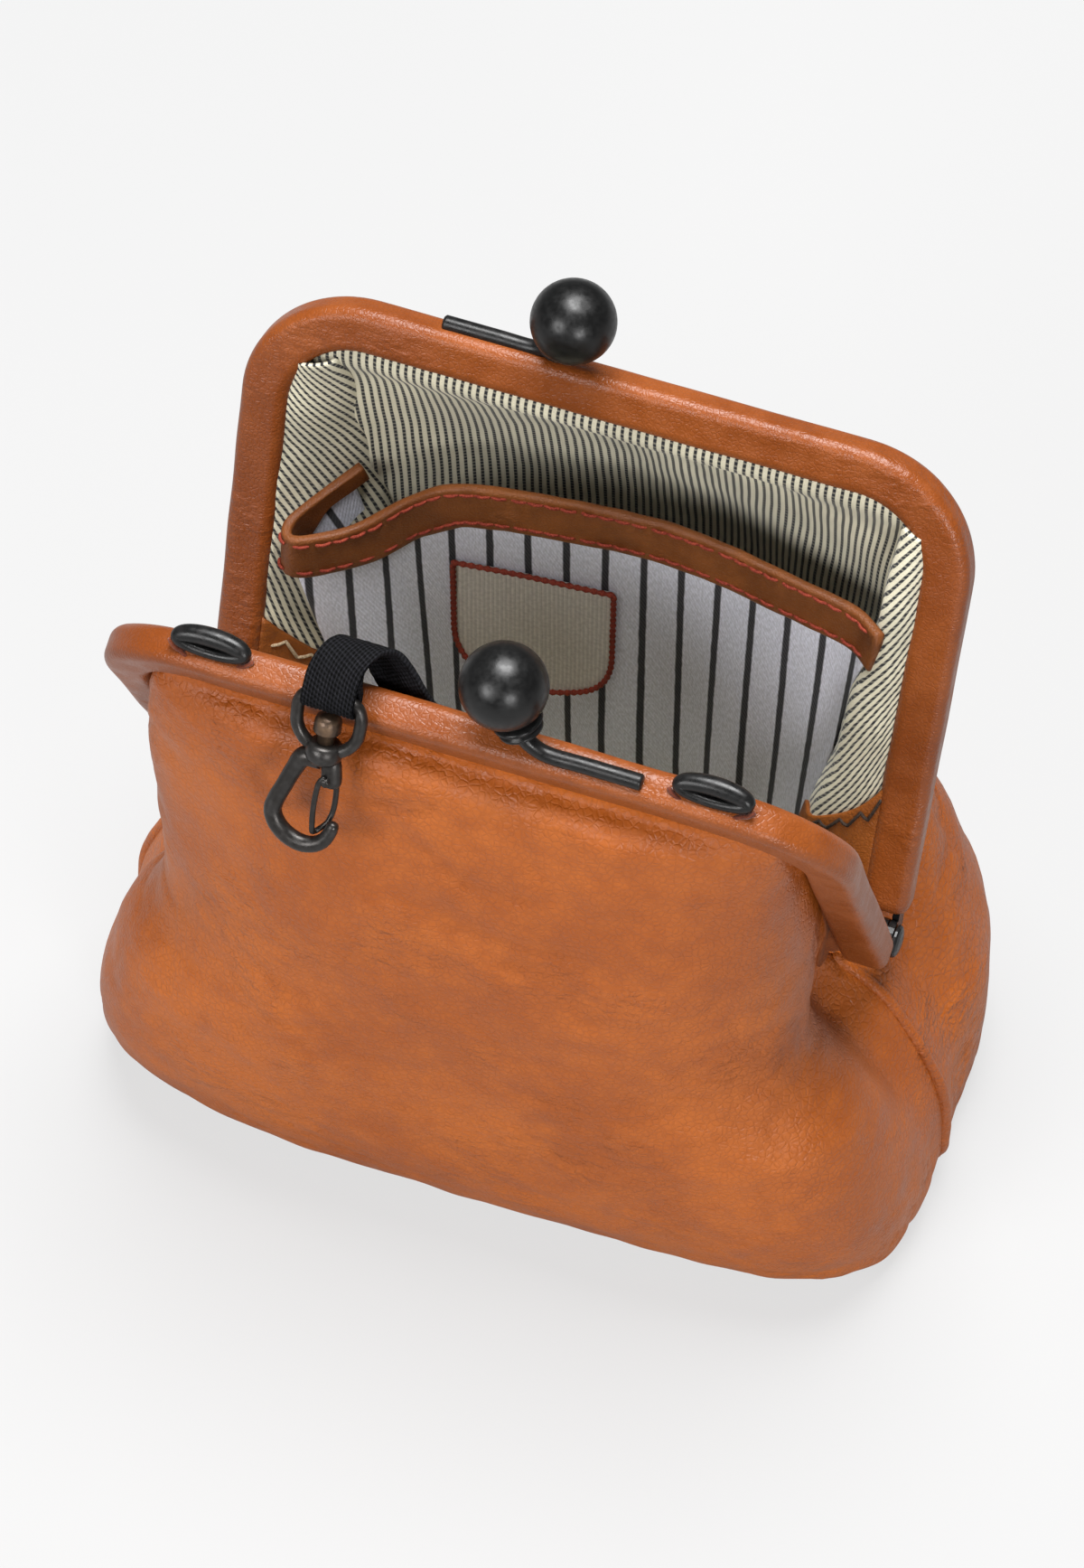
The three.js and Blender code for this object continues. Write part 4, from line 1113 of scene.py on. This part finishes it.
def make_clasp(side, half, aside):
    """A ball on a collar, carried by a wire that bends over and lies along the bar."""
    ball = on_half(half, aside * BALL_ASIDE, FRAME_HEIGHT + BALL_LIFT, BALL_OUT)
    rod = [on_half(half, aside * along, FRAME_HEIGHT + ARM_UP, BAR_MIDDLE) for along in (ARM_BEND, ARM_END)]
    neck = unit(ball - rod[0])
    angles = np.linspace(-math.pi / 2, math.pi / 2, 33)
    flat_top = BALL_RADIUS * BALL_FLAT
    profile = [(BALL_RADIUS * math.cos(a), min(BALL_RADIUS * math.sin(a), flat_top)) for a in angles]
    sphere = rings_mesh(f"{side}_ball", lathe_rings(profile, ball, neck, 56), BLACK_BALL)
    finish_piece(sphere, "black_ball", BODY[half], f"{side}_clasp_ball")
    turned = [(radius, -distance) for radius, distance in COLLAR]
    collar = rings_mesh(f"{side}_collar", lathe_rings(turned, ball, neck, 40), BLACK_METAL)
    finish_piece(collar, "black_metal", BODY[half], f"{side}_clasp_collar")
    along = unit(rod[1] - rod[0])
    line = [rod[1], (rod[0] + rod[1]) / 2, rod[0] + along * ARM_CURVE]
    path = even(spline(line + [ball - neck * drop for drop in NECK_DROPS], 80), 80)
    radii = np.full(len(path), ARM_RADIUS)
    radii[0] = ARM_RADIUS * 0.8
    arm = rings_mesh(f"{side}_arm", tube_rings(path, radii, 20), BLACK_METAL)
    finish_piece(arm, "black_metal", BODY[half], f"{side}_clasp_arm")


make_clasp("front", FRONT, 1)
make_clasp("rear", REAR, -1)


# Strap eyelets: oval rings let into the top of the front bar, leaning to the front

EYELET_ASIDE = 49.3
EYELET_HALF_LENGTH = 6.5
EYELET_HALF_WIDTH = 1.6
EYELET_OUT = 2.5
EYELET_RISE = 1.2
EYELET_SLOPE = math.radians(35)
EYELET_RADIUS = 1.5
EYELET_REAR_SWELL = 0.4
EYELET_STEPS = 72
# A black metal floor sunk inside each eyelet's hole: a painted shadow where the hole is dark
PAINTED_SHADOW_DEPTH = 0.9
PAINTED_SHADOW_THICKNESS = 0.5
# The torn edge of the wrap below the front of an eyelet
LIP_RADIUS = 0.5
LIP_OFF = 0.6
LIP_DROP = 0.15
LIP_LUMP = 0.4
LIP_ARC = slice(40, 69)


def eyelet_oval(aside, grow, count):
    """Places round an eyelet, from its right end over its rear, that much bigger than its middle line."""
    angles = circle_angles(count)
    along = aside * EYELET_ASIDE + (EYELET_HALF_LENGTH + grow) * np.cos(angles)
    back = (EYELET_HALF_WIDTH + grow) * np.sin(angles)
    up = FRAME_HEIGHT + EYELET_RISE + back * math.sin(EYELET_SLOPE)
    return on_half(FRONT, along, up, EYELET_OUT - back * math.cos(EYELET_SLOPE))


def make_eyelet(side, aside):
    path = eyelet_oval(aside, 0, EYELET_STEPS)
    right, rear, left = path[:EYELET_STEPS // 2 + 1:EYELET_STEPS // 4]
    facing = unit(np.cross(rear - right, left - rear))
    radii = EYELET_RADIUS + EYELET_REAR_SWELL * np.sin(circle_angles(EYELET_STEPS))
    rings = tube_rings(path, radii, 20, hint=tuple(facing))
    ring = rings_mesh("ring", rings, BLACK_METAL, closed_path=True)
    # The hole is floored with black metal below the ring, as a painted shadow
    ovals = [eyelet_oval(aside, grow, 48) for grow in np.linspace(-EYELET_HALF_WIDTH + 0.1, 0, 6)]
    painted_shadow_floor = shell("painted_shadow_floor", closed_grid(ovals) - facing * PAINTED_SHADOW_DEPTH, PAINTED_SHADOW_THICKNESS, BLACK_METAL)
    eyelet = joined(f"{side}_eyelet", [ring, painted_shadow_floor])
    finish_piece(eyelet, "black_metal", "front_frame", f"{side}_strap_eyelet")
    edge = eyelet_oval(aside, EYELET_RADIUS + LIP_OFF, EYELET_STEPS)[LIP_ARC]
    edge = edge + on_half(FRONT, 0, 0, 0) - on_half(FRONT, 0, LIP_DROP, 0)
    edge = edge + soft_noise(edge, 2.0, 33.0)[:, None] * LIP_LUMP
    line, sizes = rounded_ends(edge, LIP_RADIUS)
    lip = rings_mesh(f"{side}_eyelet_lip", tube_rings(line, sizes, 10), TORN_LEATHER)
    finish_piece(lip, "wrap_leather", "front_frame")


make_eyelet("left", -1)
make_eyelet("right", 1)


# Webbing loop over the front bar: places out of the mouth plane, and up from the bar's top

STRAP_ASIDE = -23.5
STRAP_WIDTH = 10.2
STRAP_THICKNESS = 1.2
STRAP_SLANT = 12
STRAP_RIB = 0.8
STRAP_COLUMNS = 57
STRAP_LUMP = 0.12
# The height of the ribs on the loop's start, and how much more it is on its front
RIB_HEIGHT = 0.02
RIB_GROWTH = 0.07
STRAP_HELD = (STRAP_ASIDE, FRAME_HEIGHT, 5.9)
STRAP_LINE = [(-0.6, -14), (-1.5, -6), (-4.5, -0.5), (-6, 4), (-4.2, 7.8), (0, 9.2), (4.5, 8.4), (8.2, 6.4),
              (8.7, 3.6), (7.6, 1.9), (5.75, 1.4), (3.4, 2.8), (2.4, 5.2), (0.6, 7.2)]


def make_strap():
    line = even(spline(STRAP_LINE, 400), 160)
    share = np.linspace(0, 1, len(line))[:, None]
    across = np.linspace(STRAP_WIDTH / 2, -STRAP_WIDTH / 2, STRAP_COLUMNS)[None, :]
    slant = STRAP_SLANT * (1 - smooth_step(0.0, 0.62, share))
    grid = on_half(FRONT, STRAP_ASIDE + across + slant, FRAME_HEIGHT + line[:, 1:], line[:, :1])
    height = RIB_HEIGHT + RIB_GROWTH * smooth_step(0.48, 0.58, share)
    ribs = np.cos(across * 2 * math.pi / STRAP_RIB) * height
    grid += grid_normals(grid) * (ribs + soft_noise(grid, 1.4, 6.1) * STRAP_LUMP)[..., None]
    piece = shell("strap", grid, STRAP_THICKNESS, WEBBING)
    finish_piece(piece, "webbing", "front_frame", "key_strap")
    flatten(piece, FRONT, STRAP_HELD)
    declare_cloth(grid)


make_strap()


# Swivel hook, in its own frame: across, away from the camera side, and up from the eye's bar

EYE_JOINT = joints["hook_swing"]["pos_m"]
HOOK_UP = np.array(joints["hook_swivel"]["axis"])
HOOK_BACK = np.array([0, HOOK_UP[2], -HOOK_UP[1]])
EYE_WIRE = 1.25
EYE_HALF_WIDTH = 6.2
EYE_DROP = 11.8
# The eye's top, from its right end to its left: share of its half width, and up
EYE_TOP = [(0.98, -2.6), (0.72, -0.5), (0, 0), (-0.72, -0.5), (-0.98, -2.6)]
# Turned pieces: radius, and distance along their axis
EYE_BOSS = [(1.8, 2.0), (2.9, 1.9), (3.4, 1.2), (3.6, 0), (3.4, -1.2), (2.9, -1.9), (1.8, -2.0)]
POST = [(0.02, 2.5), (1.3, 2.35), (2.2, 1.8), (2.6, 0.9), (2.65, -1.2), (2.3, -1.6), (1.6, -1.8), (1.6, -6)]
POST_HEAD = -6.1
PIN = [(0.5, -2.5), (0.85, -2.3), (0.85, 2.3), (0.5, 2.5)]
PIN_PLACE = (1.6, 0, -17.3)
# The middle lines of the hook and of the lug that holds the gate: across and up
HOOK_LINE = [(-0.5, -13.6), (-3.7, -14.2), (-5.3, -17.4), (-6.7, -21.3), (-8.0, -25.0), (-8.3, -27.4),
             (-7.3, -29.7), (-5.2, -31.6), (-2.3, -32.6), (0.3, -32.2), (2.2, -30.8), (3.3, -28.7),
             (3.7, -27.2)]
HOOK_RADII = [2.1, 2.0, 1.75, 1.65, 1.65, 1.7, 1.75, 1.8, 1.8, 1.75, 1.6, 1.4, 1.2]
HOOK_DEPTH = 0.9
LUG_LINE = [(0.4, -13.0), (1.6, -14.0), (2.0, -15.8), (2.2, -17.6), (2.3, -19.2)]
LUG_RADIUS = 2.0
LUG_DEPTH = 0.8
# The gate's wire: across, back and up, from its near leg round its tip to its far leg
GATE_LINE = [(1.1, -1.9, -16.5), (0.3, -1.9, -18.2), (0.0, -1.9, -23.3), (0.1, -1.2, -28.2),
             (0.2, 0, -29.4), (0.9, 0.7, -29.0), (2.2, 1.4, -27.4), (2.8, 1.9, -24.9), (2.9, 1.9, -21.5),
             (2.7, 1.9, -18.6)]
GATE_WIRE = 0.55


def on_hook(x, y, z):
    return np.array(EYE_JOINT) / MM + np.array([1, 0, 0]) * x + HOOK_BACK * y + HOOK_UP * z


def hook_path(places, count, steps):
    return even(spline([on_hook(*place) for place in places], steps), count)


def hook_lathe(name, profile, place, axis, sides, material):
    return rings_mesh(name, lathe_rings(profile, on_hook(*place), axis, sides), material)


def hook_tube(name, path, radii, sides, depth, closed_path=False):
    rings = tube_rings(path, radii, sides, depth, tuple(HOOK_BACK))
    return rings_mesh(name, rings, DARK_METAL, closed_path)


def make_eye():
    """A ring with a straight top, and a boss at its lowest point."""
    turn = EYE_HALF_WIDTH
    angles = np.linspace(math.pi, 2 * math.pi, 13)
    bowl = [(turn * math.cos(a), 0, turn - EYE_DROP + turn * math.sin(a)) for a in angles]
    top = [(turn * share, 0, up) for share, up in EYE_TOP]
    path = hook_path(bowl + top + bowl[:1], 90, 400)[:-1]
    ring = hook_tube("eye", path, EYE_WIRE, 16, 1.0, closed_path=True)
    boss = hook_lathe("boss", EYE_BOSS, (0, 0, -EYE_DROP), HOOK_UP, 32, DARK_METAL)
    finish_piece(joined("hook_ring", [ring, boss]), "dark_metal", "hook_eye", "hook_eye")


def make_arm():
    """The hook's bent arm, thinner to its rounded tip."""
    path = hook_path([(x, 0, z) for x, z in HOOK_LINE], 100, 600)
    radii = np.interp(np.linspace(0, 1, 100), np.linspace(0, 1, len(HOOK_RADII)), HOOK_RADII)
    path = np.vstack([path, path[-1] + unit(path[-1] - path[-2]) * np.array([[0.6], [0.9]])])
    radii = np.concatenate([radii, [radii[-1] * 0.8, radii[-1] * 0.35]])
    return hook_tube("arm", path, radii, 20, HOOK_DEPTH)


def make_lug():
    path = hook_path([(x, 0, z) for x, z in LUG_LINE], 24, 144)
    tip = np.sqrt(1 - np.linspace(0.1, 0.97, 6) ** 2)
    radii = LUG_RADIUS * np.concatenate([np.ones(18), tip])
    return hook_tube("lug", path, radii, 20, LUG_DEPTH)


def make_hook():
    post = hook_lathe("hook_post", POST, (0, 0, POST_HEAD), HOOK_UP, 32, POST_METAL)
    finish_piece(post, "dark_metal", "hook", "swivel_post")
    finish_piece(joined("hook_arm", [make_arm(), make_lug()]), "dark_metal", "hook", "hook_body")
    pin = hook_lathe("hook_pin", PIN, PIN_PLACE, HOOK_BACK, 20, DARK_METAL)
    finish_piece(pin, "dark_metal", "hook", "gate_pin")
    wire, sizes = rounded_ends(hook_path(GATE_LINE, 80, 480), GATE_WIRE)
    gate = rings_mesh("gate_wire", tube_rings(wire, sizes, 12), DARK_METAL)
    finish_piece(gate, "dark_metal", "gate", "hook_gate")


make_eye()
make_hook()


# CAD nodes that are kept as they are

KEPT = ["front_frame_steel", "rear_frame_steel", "right_hinge_rivet", "left_hinge_rivet"]
for node in KEPT:
    mesh = frame["nodes"][node].data
    mesh.materials.clear()
    mesh.materials.append(BLACK_METAL)


# Floor, lights and camera

BACKGROUND = 0.85
FLOOR_GLOW = 0.76
FLOOR_MIRRORED = 0.2
FLOOR_HALF = 3000
FLOOR_WHITE = (0.55, 0.55, 0.55)
FLOOR_BOUNCE = (0.34, 0.34, 0.34)
SKY = (0.88, 0.90, 0.92, 1)
SKY_STRENGTH = 0.15
# Each lamp's place and size in metres, and its power
LAMPS = {"left_box": ((-0.6, -1.25, 0.85), 0.8, 15),
         "right_box": ((0.85, -1.15, 0.6), 0.5, 11),
         "top_box": ((0.0, 0.2, 1.35), 0.8, 33)}
LAMP_TARGET = Vector((0, 0, 0.08))


def camera_axes():
    aside, ahead = math.sin(CAMERA_TURN), math.cos(CAMERA_TURN)
    level, high = math.cos(CAMERA_HEIGHT_ANGLE), math.sin(CAMERA_HEIGHT_ANGLE)
    back = Vector((aside * level, -ahead * level, high))
    right = Vector((ahead, aside, 0))
    return right, back.cross(right), back


def add_camera():
    right, up, back = camera_axes()
    camera = bpy.data.cameras.new("camera")
    camera.lens = CAMERA_LENS
    camera.sensor_width = CAMERA_SENSOR
    camera.clip_start = 0.05
    holder = bpy.data.objects.new("camera", camera)
    place = Vector((0, 0, HINGE_UP)) + right * CAMERA_ASIDE + up * CAMERA_UP + back * CAMERA_DISTANCE
    holder.matrix_world = Matrix.Translation(place * MM) @ Matrix((right, up, back)).transposed().to_4x4()
    bpy.context.scene.collection.objects.link(holder)
    bpy.context.scene.camera = holder


def add_floor():
    g = Graph("floor_paper")
    g.put(g.shader, "Roughness", 0.9)
    grain = g.noise(g.place(), 6, 3)
    g.put(g.shader, "Normal", g.bump(grain, 0.02))
    rays = g.add("LightPath", {}, {}).outputs
    g.put(g.shader, "Base Color", g.mix(rays["Is Camera Ray"], FLOOR_BOUNCE, FLOOR_WHITE))
    mirrored = g.times(rays["Is Glossy Ray"], FLOOR_MIRRORED)
    seen = g.math("ADD", rays["Is Camera Ray"], mirrored, True)
    white = g.add("Emission", {}, {"Color": (1, 1, 1, 1), "Strength": BACKGROUND})
    paper = g.add("MixShader", {}, {0: FLOOR_GLOW, 1: g.shader.outputs[0], 2: white.outputs[0]})
    both = g.add("MixShader", {}, {0: seen, 1: g.shader.outputs[0], 2: paper.outputs[0]})
    g.tree.links.new(both.outputs[0], g.tree.nodes["Material Output"].inputs[0])
    corners = [(x * FLOOR_HALF, y * FLOOR_HALF, 0) for x, y in ((-1, -1), (1, -1), (1, 1), (-1, 1))]
    new_piece("floor", corners, [(0, 1, 2, 3)], g.material)


def add_light(name, place, size, power):
    light = bpy.data.lights.new(name, "AREA")
    light.shape = "DISK"
    light.size = size
    light.energy = power
    holder = bpy.data.objects.new(name, light)
    toward = Vector(place) - LAMP_TARGET
    holder.matrix_world = Matrix.Translation(place) @ toward.to_track_quat("Z", "Y").to_matrix().to_4x4()
    bpy.context.scene.collection.objects.link(holder)


def add_world():
    world = bpy.data.worlds.new("studio")
    world.use_nodes = True
    bpy.context.scene.world = world
    sky = world.node_tree.nodes["Background"]
    sky.inputs["Color"].default_value = SKY
    sky.inputs["Strength"].default_value = SKY_STRENGTH


add_camera()
add_floor()
for lamp, settings in LAMPS.items():
    add_light(lamp, *settings)
add_world()
bpy.context.scene.view_settings.view_transform = "Standard"
